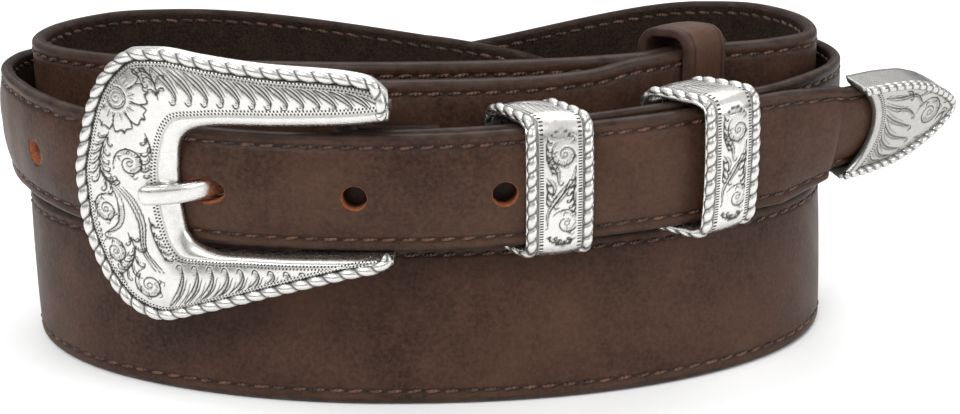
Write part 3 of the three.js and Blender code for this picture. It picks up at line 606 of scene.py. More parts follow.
def drillHoles(piece):
    # round cutters across the strap, and a longer one where the tongue comes up
    cutters = []
    for at, stretch in holeCuts:
        along, outward = tipRoute.stationAt(at)[1:3]
        bpy.ops.object.select_all(action="DESELECT")
        bpy.ops.mesh.primitive_cylinder_add(vertices=56, radius=holes["diameter"] / 2 * mm, depth=9 * mm)
        cutter = bpy.context.object
        turn = Matrix(((along[0], 0, outward[0], 0), (along[1], 0, outward[1], 0),
                       (0, 1, 0, 0), (0, 0, 0, 1)))
        size = Matrix.Diagonal((stretch, 1, 1, 1))
        cutter.data.transform(Matrix.Translation(Vector(holeMiddle(at))) @ turn @ size)
        cutters.append(cutter)
    bpy.ops.object.select_all(action="DESELECT")
    for cutter in cutters:
        cutter.select_set(True)
    bpy.context.view_layer.objects.active = cutters[0]
    bpy.ops.object.join()
    joined = bpy.context.object
    bpy.ops.object.mode_set(mode="EDIT")
    bpy.ops.mesh.select_all(action="SELECT")
    bpy.ops.mesh.normals_make_consistent(inside=False)
    bpy.ops.object.mode_set(mode="OBJECT")
    cutWith(piece, joined)
    # the wall of each hole is raw leather
    reach = (holes["slotLength"] / 2 + 0.3) * mm
    for at, stretch in holeCuts:
        outward = tipRoute.stationAt(at)[2]
        middle = holeMiddle(at)
        for face in piece.data.polygons:
            away = np.array(face.center) - middle
            if np.linalg.norm(away) < reach and abs(face.normal.dot(Vector((*outward, 0)))) < 0.35:
                face.material_index = 1
                face.use_smooth = True


drillHoles(tipBillet)
print("tip billet made:", len(tipBillet.data.polygons), "faces")


# Buckle billet: its end is turned back round the heel bar, as a curl and a flat layer behind
fold = {"length": 20, "ease": 8, "curlSteps": 20, "backSteps": 14, "window": 14, "slotHeight": 7.4}
barOut = -(billet["buckleThick"] + strap["gap"] + buckle["barDiameter"] / 2)


def foldBack(profile):
    half = billet["buckleThick"] / 2
    radius = buckle["barDiameter"] / 2 + strap["gap"] + half
    rings = []
    for at in np.linspace(fold["length"], fold["length"] / fold["backSteps"], fold["backSteps"]):
        point, along, outward, height = buckleRoute.stationAt(at)[:4]
        closed = min(1, at / fold["ease"])
        open_ = 2 * radius * (1 - closed) + (billet["buckleThick"] + strap["gap"]) * closed
        middle = point - outward * (half + open_)
        rings.append((middle, -outward, height))
    point, along, outward, height = buckleRoute.stationAt(0.0)[:4]
    centre = point + outward * barOut
    for turn in np.linspace(0, math.pi, fold["curlSteps"]):
        facing = -outward * math.cos(turn) - along * math.sin(turn)
        rings.append((centre + facing * radius, facing, height))
    made = []
    for middle, facing, height in rings:
        flat = middle + facing * (profile[:, :1] + half)
        made.append(np.concatenate([flat, height + profile[:, 1:]], 1))
    return np.array(made)


buckleShape = StrapShape(buckleRoute, billet["width"], billet["buckleThick"], billet["buckleCrown"],
                         billetLooks)
buckleBillet = buckleShape.build("buckle_billet_leather", step=1.25, wide=1.6, fine=0.42,
                                 materials=[billetLeatherShaded], replaced=["buckle_billet"], curl=foldBack)


def cutTongueWindow(piece):
    along = buckleRoute.stationAt(0.0)[1]
    place = buckleRoute.spot(-buckle["barDiameter"], barOut, billet["width"] / 2)
    bpy.ops.object.select_all(action="DESELECT")
    bpy.ops.mesh.primitive_cube_add(size=1)
    cutter = bpy.context.object
    turn = Matrix.Rotation(math.atan2(along[1], along[0]), 4, "Z")
    size = Matrix.Diagonal((fold["window"] * mm, 2 * fold["window"] * mm, fold["slotHeight"] * mm, 1))
    cutter.data.transform(Matrix.Translation(Vector((place + coilCentre) * mm)) @ turn @ size)
    cutWith(piece, cutter)


cutTongueWindow(buckleBillet)
print("buckle billet made:", len(buckleBillet.data.polygons), "faces")


# Stitches: waxed thread that dips into the leather at both ends
thread = {"pitch": 4.4, "length": 3.9, "radius": 0.42, "sides": 6, "rings": 6, "slant": 0.16, "proud": 0.16,
          "shake": 0.07, "slantShake": 0.25, "fatShake": 0.05}


def sew(name, shape, runs):
    # each run is a face (1 outer, -1 inner) with the lengths where its two rows start and end
    random = np.random.default_rng(7)
    points, faces = [], []
    share = np.linspace(-1, 1, thread["rings"])
    arch = np.cos(share * math.pi / 2) ** 0.55
    spin = np.linspace(0, 2 * math.pi, thread["sides"], endpoint=False)
    for side, start, end in runs:
        for v in (shape.stitch, shape.width - shape.stitch):
            level = float(shape.outerAt(v)) if side > 0 else float(shape.innerAt(v))
            count = int((end - start) / thread["pitch"])
            for k in range(count):
                middle = start + (k + 0.5) * thread["pitch"] + random.normal(0, thread["shake"])
                slant = thread["slant"] * (1 + random.normal(0, thread["slantShake"]))
                fat = thread["radius"] * (0.55 + 0.45 * arch) * (1 + random.normal(0, thread["fatShake"]))
                s = middle + share * thread["length"] / 2
                lift = level + side * (thread["proud"] - 0.5 * (1 - arch))
                u = lift[:, None] + side * fat[:, None] * np.sin(spin)
                across = v + slant * share[:, None] * 1.5 + fat[:, None] * 1.12 * np.cos(spin)
                ring = shape.points(np.broadcast_to(s[:, None], u.shape), u, across)
                base = len(points) * thread["rings"] * thread["sides"]
                points.append(ring.reshape(-1, 3))
                made = loftFaces(thread["rings"], thread["sides"])
                faces.extend(tuple(base + corner for corner in face) for face in made)
    alongAt = np.linspace(0, thread["length"], thread["rings"])
    around = np.linspace(0, 2 * math.pi * thread["radius"], thread["sides"], endpoint=False)
    one = loftFaces(thread["rings"], thread["sides"])
    single = loftUvs(one, thread["rings"], thread["sides"], alongAt, around, 2 * math.pi * thread["radius"])
    shifts = np.repeat(random.uniform(0, 0.02, len(points)), len(single))
    uvs = np.tile(single, (len(points), 1))
    uvs[:, 0] += shifts
    return newPiece(name, np.concatenate(points), faces, [waxedThread], (), uvs)


frontStart = mainRoute.lengthAt(258) + 4
sew("wide_strap_stitches", mainShape, [(side, frontStart, mainRoute.length - 4) for side in (1, -1)])
sew("tip_billet_stitches", tipShape, [(1, 5, tipMouthAt + 6), (-1, 5, tipMouthAt + 4)])
sew("buckle_billet_stitches", buckleShape, [
    (1, 6, buckleRoute.length - 4),
    (-1, fold["length"] + 4, buckleRoute.length - 4),
])
print("stitches made")


# Leather loop: a band bent round both ends of the wide strap
loop = {
    "angle": 313, "width": 12, "wall": 2.2, "skew": 0.35, "round": 0.6, "crease": 1.5, "creaseDeep": 0.22,
    "creaseHalf": 0.3, "swell": 0.25, "corner": 2.4, "rise": 2, "arch": 0.5, "edge": 0.75,
}


def ringPath(inner, outer, lower, upper, corner, step):
    # a rounded box as points and outward normals, from the middle of its outer side upwards
    centres = [(outer - corner, upper - corner, 0), (inner + corner, upper - corner, 90),
               (inner + corner, lower + corner, 180), (outer - corner, lower + corner, 270)]
    points, normals = [], []
    previous = None
    for cx, cy, begin in centres + centres[:1]:
        turn = np.radians(begin + np.linspace(0, 90, max(4, int(corner * 1.6 / step))))
        facing = np.stack([np.cos(turn), np.sin(turn)], -1)
        corners = np.array([cx, cy]) + corner * facing
        if previous is not None:
            run = corners[0] - previous
            count = max(2, int(np.linalg.norm(run) / step))
            share = np.linspace(0, 1, count + 1)[1:-1, None]
            points.append(previous + run * share)
            normals.append(np.repeat(facing[:1], len(share), 0))
        points.append(corners)
        normals.append(facing)
        previous = corners[-1]
    points, normals = np.concatenate(points), np.concatenate(normals)
    last = len(points) - len(corners)
    return points[:last], normals[:last]


def buildLoop():
    tipBehind = (mainOutAt(loop["angle"]) - mainOutAt(loop["angle"] + 720)) * coil["halfDepth"]
    inner = -tipBehind - strap["thick"] - clearance["sleeve"] - strap["gap"]
    outer = clearance["sleeve"]
    upper = strap["width"] + clearance["sleeve"] + loop["rise"]
    path, normal = ringPath(inner, outer, -clearance["sleeve"], upper, loop["corner"], 0.5)
    # above the straps it springs up as a low arch
    high = np.clip((path[:, 1] - upper + loop["corner"]) / loop["corner"], 0, 1)
    middle, half = (inner + outer) / 2, (outer - inner) / 2
    lift = loop["arch"] * high * np.sqrt(np.clip(1 - ((path[:, 0] - middle) / (half + 1)) ** 2, 0, 1))
    path = path + np.stack([np.zeros(len(lift)), lift], -1)
    wall, half = loop["wall"], loop["width"] / 2
    r = loop["round"]
    arc = [(half - r + r * math.sin(a), wall - r + r * math.cos(a)) for a in np.linspace(0, math.pi / 2, 5)]
    field = np.linspace(-half + r, half - r, 31)[1:-1]
    creased = lambda x: np.exp(-((half - abs(x) - loop["crease"]) / loop["creaseHalf"]) ** 2)
    swell = lambda x: loop["swell"] * (1 - (x / half) ** 2)
    top = [(x, wall - loop["creaseDeep"] * creased(x) + swell(x)) for x in field]
    section = [(-x, w) for x, w in arc[::-1]] + top + arc + [(x, wall - w) for x, w in arc[::-1]]
    section += [(-x, wall - w) for x, w in arc]
    section = np.array(section)
    at = mainRoute.lengthAt(loop["angle"])
    u = path[:, None, 0] + normal[:, None, 0] * section[None, :, 1]
    v = path[:, None, 1] + normal[:, None, 1] * section[None, :, 1]
    s = at + section[None, :, 0] + np.minimum(u, outer + wall) * loop["skew"]
    points = mainRoute.place(s, u, v)
    rows, columns = points.shape[:2]
    faces = loftFaces(rows, columns, True)
    around, total = girth(section)
    alongAt, length = girth(path)
    uvs = loftUvs(faces, rows, columns, alongAt, around, total)
    isEdge = (np.abs(section[:, 0]) > half - loop["edge"]).astype(float)
    isInside = (section[:, 1] < 0.3).astype(float) * (1 - isEdge)
    # painted shade along the loop's creases, through the groove mark
    crease = creased(section[:, 0]) * (section[:, 1] > 1)
    values = {"edge": isEdge, "inside": isInside, "groove": crease}
    marks = {key: np.tile(value, rows) for key, value in values.items()}
    return newPiece("loop_leather_band", points.reshape(-1, 3), faces, [loopLeather],
                    ["leather_loop"], uvs, marks)


leatherLoop = buildLoop()
print("leather loop made:", len(leatherLoop.data.polygons), "faces")


# Silver, with dark patina in its cuts and painted shade inside the belt tip's hollow
def silverFinish(name, mill=None, shadeTone=1.0):
    finish = Finish(name, {"Specular IOR Level": 0.5})
    patinaAndShade = finish.mark("patinaAndShade")
    grime = finish.range(finish.noise(500, 4, 0.65), 0.35, 0.75)
    height = patinaAndShade * 0
    if mill:
        phase, band = finish.mark("mill"), finish.mark("millBand")
        for offset, shift in mill["rows"]:
            away = band - offset
            away = away.math("ABSOLUTE", away, 0.0)
            row = finish.range(away, mill["half"] - 0.07, mill["half"] + 0.07, 1.0, 0.0)
            wave = (phase + shift) * (2 * math.pi)
            dash = finish.range(wave.math("SINE", wave, 0.0), -0.1, 0.35)
            cut = row * dash
            height = height.math("MAXIMUM", height, cut)
    # the patina mark darkens the silver: real patina in cuts and grooves, and painted shade inside the belt
    # tip's hollow
    dark = patinaAndShade.math("MAXIMUM", patinaAndShade * 1.15, height)
    dark = dark.math("MINIMUM", dark, 1.0)
    clean, worn = (0.67, 0.66, 0.64), (0.4, 0.39, 0.37)
    silver = finish.mix(grime * 0.3, [shade * shadeTone for shade in clean], [shade * shadeTone for shade in worn])
    finish.feed("Base Color", finish.mix(dark, silver, (0.03, 0.026, 0.022)))
    finish.feed("Metallic", 1 - dark * 0.85)
    rub = finish.range(finish.noise(900, 3, 0.6), 0.3, 0.7, 0.22, 0.33)
    finish.feed("Roughness", rub + dark * 0.4)
    soft = finish.bump(finish.noise(260, 3, 0.5), 0.00025, 0.12)
    finish.feed("Normal", finish.bump(1 - height, 0.00016, 0.8, soft))
    return finish.material


noBorder = 9.0      # farther from a milled border than any border is wide
frameSilver = silverFinish("frameSilver", {"rows": [(-0.34, 0.0), (0.34, 0.5)], "half": 0.24})
keeperSilver = silverFinish("keeperSilver", {"rows": [(0.0, 0.0)], "half": 0.42})
plainSilver = silverFinish("plainSilver")


def curveThrough(points, step):
    # a smooth curve through the points, at even steps
    points = np.asarray(points, float)
    padded = np.vstack([2 * points[0] - points[1], points, 2 * points[-1] - points[-2]])
    t = np.linspace(0, 1, 24, endpoint=False)[:, None]
    parts = []
    for a, b, c, d in zip(padded, padded[1:], padded[2:], padded[3:]):
        parts.append(0.5 * (2 * b + (c - a) * t + (2 * a - 5 * b + 4 * c - d) * t**2
                            + (3 * b - a - 3 * c + d) * t**3))
    fine = np.vstack(parts + [points[-1:]])
    at = lengthsAlong(fine)
    even = np.linspace(0, at[-1], max(3, int(at[-1] / step) + 1))
    return np.stack([np.interp(even, at, fine[:, k]) for k in range(fine.shape[1])], -1)


def waysAlong(path):
    along = np.gradient(path, axis=0)
    return along / np.linalg.norm(along, axis=1, keepdims=True)


def smoothStep(low, high, value):
    share = np.clip((value - low) / (high - low), 0, 1)
    return share * share * (3 - 2 * share)


class Engraving:
    # a drawing in millimetres: how deeply each spot of a surface is cut
    def __init__(self, low, high, cell=0.1):
        self.low, self.cell = np.array(low, float), cell
        size = ((np.array(high, float) - self.low) / cell).astype(int) + 2
        self.depth = np.zeros(size)

    def line(self, points, width=0.5, depth=1.0, taper=0.35):
        path = curveThrough(points, 0.05)
        share = np.linspace(0, 1, len(path))
        ends = np.clip(np.minimum(share, 1 - share) / taper, 0, 1) ** 0.7
        half = width * 0.38 * (0.45 + 0.55 * ends)
        base = np.round((path - self.low) / self.cell).astype(int)
        reach = int(width / 2 / self.cell) + 1
        for i in range(-reach, reach + 1):
            for j in range(-reach, reach + 1):
                spot = base + [i, j]
                away = np.linalg.norm(self.low + spot * self.cell - path, axis=1) / half
                value = depth * np.clip(1.6 * (1 - away**2), 0, 1)
                held = ((spot >= 0) & (spot < self.depth.shape)).all(1)
                np.maximum.at(self.depth, (spot[held, 0], spot[held, 1]), value[held])

    def at(self, a, b):
        x = np.clip((a - self.low[0]) / self.cell, 0, self.depth.shape[0] - 1.001)
        y = np.clip((b - self.low[1]) / self.cell, 0, self.depth.shape[1] - 1.001)
        i, j = x.astype(int), y.astype(int)
        x, y = x - i, y - j
        d = self.depth
        return (d[i, j] * (1 - x) * (1 - y) + d[i + 1, j] * x * (1 - y)
                + d[i, j + 1] * (1 - x) * y + d[i + 1, j + 1] * x * y)

    def ticks(self, points, length, gap, turn=70):
        # short shading cuts that stand off a curve
        path = curveThrough(points, gap)
        along = waysAlong(path)
        c, s = math.cos(math.radians(turn)), math.sin(math.radians(turn))
        for place, way in zip(path[1:-1], along[1:-1]):
            off = np.array([c * way[0] - s * way[1], s * way[0] + c * way[1]])
            self.line([place + off * 0.25, place + off * (0.25 + length)], 0.3, 0.6)

    def scroll(self, centre, radius, start, hand, turns=1.35, lobes=4):
        # a spiral leaf with a bud in its middle, shading inside and lobes along its back
        share = np.linspace(0, 1, 26)
        angle = math.radians(start) + hand * turns * 2 * math.pi * share
        reach = radius * (1 - 0.78 * share**0.8)
        centre = np.array(centre, float)
        spiral = centre + np.stack([np.cos(angle) * reach, np.sin(angle) * reach], -1)
        self.line(spiral, 0.55)
        bud = np.linspace(0, 2 * math.pi, 13)
        round_ = np.stack([np.cos(bud), np.sin(bud)], -1)
        self.line(centre + 0.14 * radius * round_, 0.4, 0.8, 0.05)
        self.ticks(spiral[3:15], radius * 0.24, 0.55, 80 * hand)
        ring = lambda turn, share: centre + radius * share * np.array([math.cos(turn), math.sin(turn)])
        for k in range(lobes):
            a = math.radians(start) + hand * (0.1 + 0.16 * k) * 2 * math.pi
            b = a + hand * 0.5
            tip = a - hand * 0.12
            self.line([ring(a, 0.52), ring((a + b) / 2, 0.7), ring(b, 0.62)], 0.45, 0.9)
            self.line([ring(tip, 0.8), ring(a + hand * 0.15, 0.86), ring(a + hand * 0.3, 0.72)], 0.4, 0.7)

    def leaf(self, points, bend, hatch=0.8, hook=1.2):
        # a long curved leaf: its spine, a second line beside it, a hooked end and shading
        path = curveThrough(points, 0.5)
        along = waysAlong(path)
        side = np.stack([-along[:, 1], along[:, 0]], -1)
        share = np.linspace(0, 1, len(path))[:, None]
        self.line(path, 0.55)
        self.line((path + side * bend * np.sin(math.pi * share**0.8))[1:-1], 0.4, 0.85)
        if hatch:
            self.ticks(path[len(path) // 3:], hatch, 0.5, 75 if bend > 0 else -75)
        if hook:
            end, way, off = path[-1], along[-1], side[-1] * (1 if bend > 0 else -1)
            bent = end + way * hook * 0.3 + off * hook * 0.5
            self.line([end, bent, end - way * hook * 0.25 + off * hook], 0.5)

    def frond(self, points, size, gap, sides=(1, -1)):
        # a stem with curled leaves on its sides, longest in the middle of it
        path = curveThrough(points, 0.2)
        along = waysAlong(path)
        side = np.stack([-along[:, 1], along[:, 0]], -1)
        self.line(path[::4], 0.6)
        count = max(2, int(len(path) * 0.2 / gap))
        for k in range(count):
            i = int((k + 0.4) / count * (len(path) - 1))
            grow = size * (0.55 + 0.45 * math.sin(math.pi * (k + 0.5) / count))
            for way in sides:
                start, ahead, off = path[i], along[i] * grow, side[i] * way * grow
                leaf = [start, start + ahead * 0.55 + off * 0.14, start + ahead * 0.98 + off * 0.5,
                        start + ahead + off * 0.92, start + ahead * 0.74 + off,
                        start + ahead * 0.68 + off * 0.8]
                self.line(leaf, 0.5, 1.0, 0.2)
                self.line([start + ahead * 0.25 + off * 0.2, start + ahead * 0.66 + off * 0.42,
                           start + ahead * 0.74 + off * 0.66], 0.35, 0.85)

    def flower(self, centre, radius, petals=8):
        centre = np.array(centre, float)
        ring = lambda turn, share: centre + radius * share * np.array([math.cos(turn), math.sin(turn)])
        for share, width in ((0.3, 0.5), (0.24, 0.3)):
            turn = np.linspace(0, 2 * math.pi, 25)
            self.line(np.array([ring(a, share) for a in turn]), width, 0.9, 0.02)
        swirl = np.linspace(0, 1, 12)
        self.line(np.array([ring(9 * k, 0.19 * (1 - 0.75 * k)) for k in swirl]), 0.35, 0.8)
        for k in range(petals):
            a = 2 * math.pi * (k + 0.25) / petals
            w = math.pi / petals
            outline = [(-0.8, 0.42), (-1, 0.7), (-0.72, 0.94), (-0.2, 0.9), (0, 0.99), (0.3, 0.9),
                       (0.75, 0.92), (1, 0.7), (0.8, 0.42)]
            self.line([ring(a + w * beside, share) for beside, share in outline], 0.5, 1.0, 0.1)
            self.line([ring(a, 0.4), ring(a + 0.06, 0.62)], 0.35, 0.8)
            for way in (-1, 1):
                self.line([ring(a + way * w * 0.35, 0.42), ring(a + way * w * 0.4, 0.55)], 0.3, 0.6)
            self.line([ring(a, 0.99), ring(a - 0.02, 0.86)], 0.4, 0.9)


def rope(path, facing, radius, pitch, sides, closed=False):
    # a twisted rope, as points in rings and the patina of the valley between its turns
    at = lengthsAlong(path)
    total = at[-1] + (np.linalg.norm(path[0] - path[-1]) if closed else 0)
    if closed:
        pitch = total / round(total / pitch)
        along = np.roll(path, -1, 0) - np.roll(path, 1, 0)
        along /= np.linalg.norm(along, axis=1, keepdims=True)
    else:
        along = waysAlong(path)
    out = facing - (facing * along).sum(1, keepdims=True) * along
    out /= np.linalg.norm(out, axis=1, keepdims=True)
    beside = np.cross(along, out)
    around = np.linspace(0, 2 * math.pi, sides, endpoint=False)
    turn = 2 * math.pi * at / pitch
    lobe = abs(np.cos((around[None, :] - turn[:, None]) / 2))
    fat = np.broadcast_to(np.asarray(radius, float), at.shape)[:, None] * (0.56 + 0.44 * lobe**0.5)
    if not closed:
        ends = np.clip(np.minimum(at, total - at) / 0.8, 0.0, 1.0)
        fat = fat * np.sqrt(1 - (1 - ends[:, None]) ** 2 * 0.96)
    points = (path[:, None] + out[:, None] * (fat * np.cos(around))[..., None]
              + beside[:, None] * (fat * np.sin(around))[..., None])
    valley = np.exp(-(lobe / 0.26) ** 2)
    return points, valley


# Buckle frame
frameTable = {
    "turn": [0, 0.6, 1, 2, 3, 4, 5, 6, 7, 8, 9, 10, 11, 12, 13, 14, 15, 16, 17, 17.4, 18],
    "outerAlong": [0, 0.05, 0.14, 0.36, 0.55, 0.665, 0.75, 0.835, 0.902, 0.95, 0.98, 0.976, 0.944, 0.897,
                   0.82, 0.733, 0.597, 0.38, 0.15, 0.06, 0],
    "outerUp": [0.37, 0.42, 0.44, 0.455, 0.48, 0.5, 0.495, 0.43, 0.32, 0.17, 0.02, -0.13, -0.27, -0.38, -0.47,
                -0.5, -0.46, -0.385, -0.31, -0.285, -0.26],
    "innerAlong": [0, 0.05, 0.14, 0.34, 0.5, 0.58, 0.615, 0.63, 0.635, 0.64, 0.64, 0.64, 0.635, 0.63, 0.615,
                   0.58, 0.5, 0.34, 0.14, 0.05, 0],
    "innerUp": [0.56, 0.54, 0.52, 0.5, 0.49, 0.45, 0.39, 0.31, 0.22, 0.1, 0, -0.1, -0.22, -0.31, -0.39, -0.45,
                -0.49, -0.49, -0.48, -0.475, -0.47],
}
barBack = -underTip + barOut - buckle["barDiameter"] / 2
armBack = [barBack + 1, barBack, barBack, 0, 0.6]
frameTable["back"] = armBack + [1.6] * 11 + armBack[::-1]
frameLook = {
    "rings": 760, "bandSide": 4.3, "bandArm": 2.7, "bandLow": 2.2, "field": 4.25, "dome": 1.15,
    "ropeWidth": 2.75, "ropeStep": 1.35, "ropeRadius": 1.36, "ropeInset": 1.4, "ropeOut": 3.85,
    "ropePitch": 3.7, "barSides": 24, "barHalf": 18, "barPatina": 0.85, "cut": 0.11, "millPitch": 0.78,
    "millOuter": 3.5, "millInner": 0.85, "ropeSides": 20, "grid": (14, 60, 17), "sideFrom": (3.2, 5.0),
    "sideTo": (13.0, 14.8), "lowFrom": (13.2, 15.5), "lowNarrower": 1.5,
}
# the walls and the back that close each ring: share of the width, and height between back and face
frameWall = [(1.0, 0.75), (1.0, 0.5), (1.0, 0.25), (1.0, 0.08), (0.985, 0), (0.9, 0), (0.7, 0), (0.5, 0),
             (0.42, 0), (0.36, 0), (0.3, 0), (0.1, 0), (0.015, 0), (0.0, 0.08), (0.0, 0.3), (0.0, 0.6),
             (0.0, 0.85)]


def framePoint(along, up, out):
    level = billetHeight + billet["width"] / 2 + up
    level = level + buckle["rise"] * np.minimum(1, along / buckle["length"] + 0.4)
    points = tipRoute.place(frameEndAt - along, out, 0 * along)
    points[..., 2] = level
    return points


def engraveFrame():
    # drawn with x to the right of the buckle's left side and y up from its middle
    drawing = Engraving((-1, -33), (75, 33))
    drawing.flower((14.4, 20.4), 8.0)
    drawing.scroll((16.4, 5.6), 4.2, 200, -1, 1.5, 5)
    drawing.scroll((9.4, -5.6), 4.0, 60, 1, 1.5, 5)
    drawing.scroll((10.6, -15.6), 3.7, 150, -1, 1.5, 5)
    drawing.scroll((18.6, -22.8), 4.3, 100, 1, 1.5, 5)
    drawing.frond([(12.0, 12.6), (9.4, 8.2), (8.8, 3.4), (11.6, 0.2)], 3.3, 1.7)
    drawing.frond([(20.6, 12.8), (21.4, 9.0), (21.2, 3.0)], 2.6, 1.7, (-1,))
    drawing.frond([(4.8, -2.4), (4.2, -7.4), (6.0, -12.6)], 2.2, 1.7, (1,))
    drawing.frond([(14.4, -10.6), (15.8, -14.4), (14.4, -18.4), (11.0, -21.4)], 2.7, 2.1)
    drawing.frond([(19.6, -6.6), (20.4, -11.6), (22.8, -17.0)], 2.4, 1.9, (1,))
    drawing.frond([(6.0, -13.6), (7.4, -19.4), (11.4, -24.2)], 2.0, 1.6, (1, -1))
    drawing.frond([(24.4, 20.6), (23.4, 25.0), (19.6, 28.6)], 2.6, 1.7, (-1, 1))
    for shift in (0, 0.9, 1.8):
        drawing.line([(12.4 + shift, 0.2), (15.2 + shift, -3.2), (17.2 + shift * 0.8, -8.2),
                      (17.6 + shift * 0.6, -14.5), (20.5 + shift, -19.5)], 0.5)
    drawing.leaf([(11.2, 0.4), (12.6, -3.4), (12.2, -8.4), (8.2, -11.6)], 1.3)
    drawing.leaf([(8.2, 26.5), (10.5, 28.2), (14.0, 28.6)], -0.9, 0.6)
    drawing.leaf([(16.5, 27.2), (19.6, 26.4), (21.4, 23.2)], 1.0, 0.7)
    # comma leaves in a row along both arms, each sweeping away from the border and hooking back
    for k in range(14):
        x = 23.0 + k * 3.4
        share = (x - 22.5) / 48
        top = 28.0 - 4.6 * share
        low = 18.8 - 0.6 * share
        tall = top - low
        drawing.leaf([(x, top - 0.3), (x + 3.4, top - tall * 0.34), (x + 5.2, top - tall * 0.66),
                      (x + 5.0, low + 0.9)], -0.8, 0.7, 1.4)
        drawing.line([(x + 1.1, top - 0.2), (x + 4.1, top - tall * 0.3), (x + 5.8, top - tall * 0.62)],
                     0.4, 0.85)
        drawing.line([(x + 2.2, top - 0.2), (x + 4.8, top - tall * 0.26), (x + 6.3, top - tall * 0.5)],
                     0.35, 0.7)
        base = -28.6 + 12.0 * share
        high = -17.0
        tall = high - base
        drawing.leaf([(x - 0.5, base + 0.4), (x + 2.4, base + tall * 0.35), (x + 3.6, base + tall * 0.66),
                      (x + 3.2, high - 0.8)], 0.8, 0.7, 1.4)
        drawing.line([(x + 0.6, base + 0.9), (x + 3.3, base + tall * 0.4), (x + 4.5, base + tall * 0.72)],
                     0.4, 0.85)
        drawing.line([(x + 1.7, base + 0.9), (x + 4.1, base + tall * 0.36), (x + 5.2, base + tall * 0.62)],
                     0.35, 0.7)
    return drawing


def heelPlace():
    # the heel bar's middle, and the level that it shares with the tongue
    heel = buckleRoute.spot(0.0, barOut, 0.0)
    along = frameEndAt - tipRoute.lengthAt(buckle["heelAngle"])
    heel[2] = framePoint(np.array([along]), np.array([0.0]), np.array([0.0]))[0, 2]
    return heel


def plainMarks(patinaAndShade):
    # patina alone, with no milled border
    patinaAndShade = np.ravel(patinaAndShade)
    return {"patinaAndShade": patinaAndShade, "mill": 0 * patinaAndShade, "millBand": 0 * patinaAndShade + noBorder}


def ropePiece(name, rings, closed, material):
    # one piece from one or more ropes
    points, faces = np.zeros((0, 3)), []
    for ring, valley in rings:
        rows, columns = ring.shape[:2]
        points, faces = addPart(points, faces, ring.reshape(-1, 3), loftFaces(rows, columns, closed))
    valleys = np.concatenate([valley.ravel() for ring, valley in rings])
    newPiece(name, points, faces, [material], marks=plainMarks(valleys * 0.9))


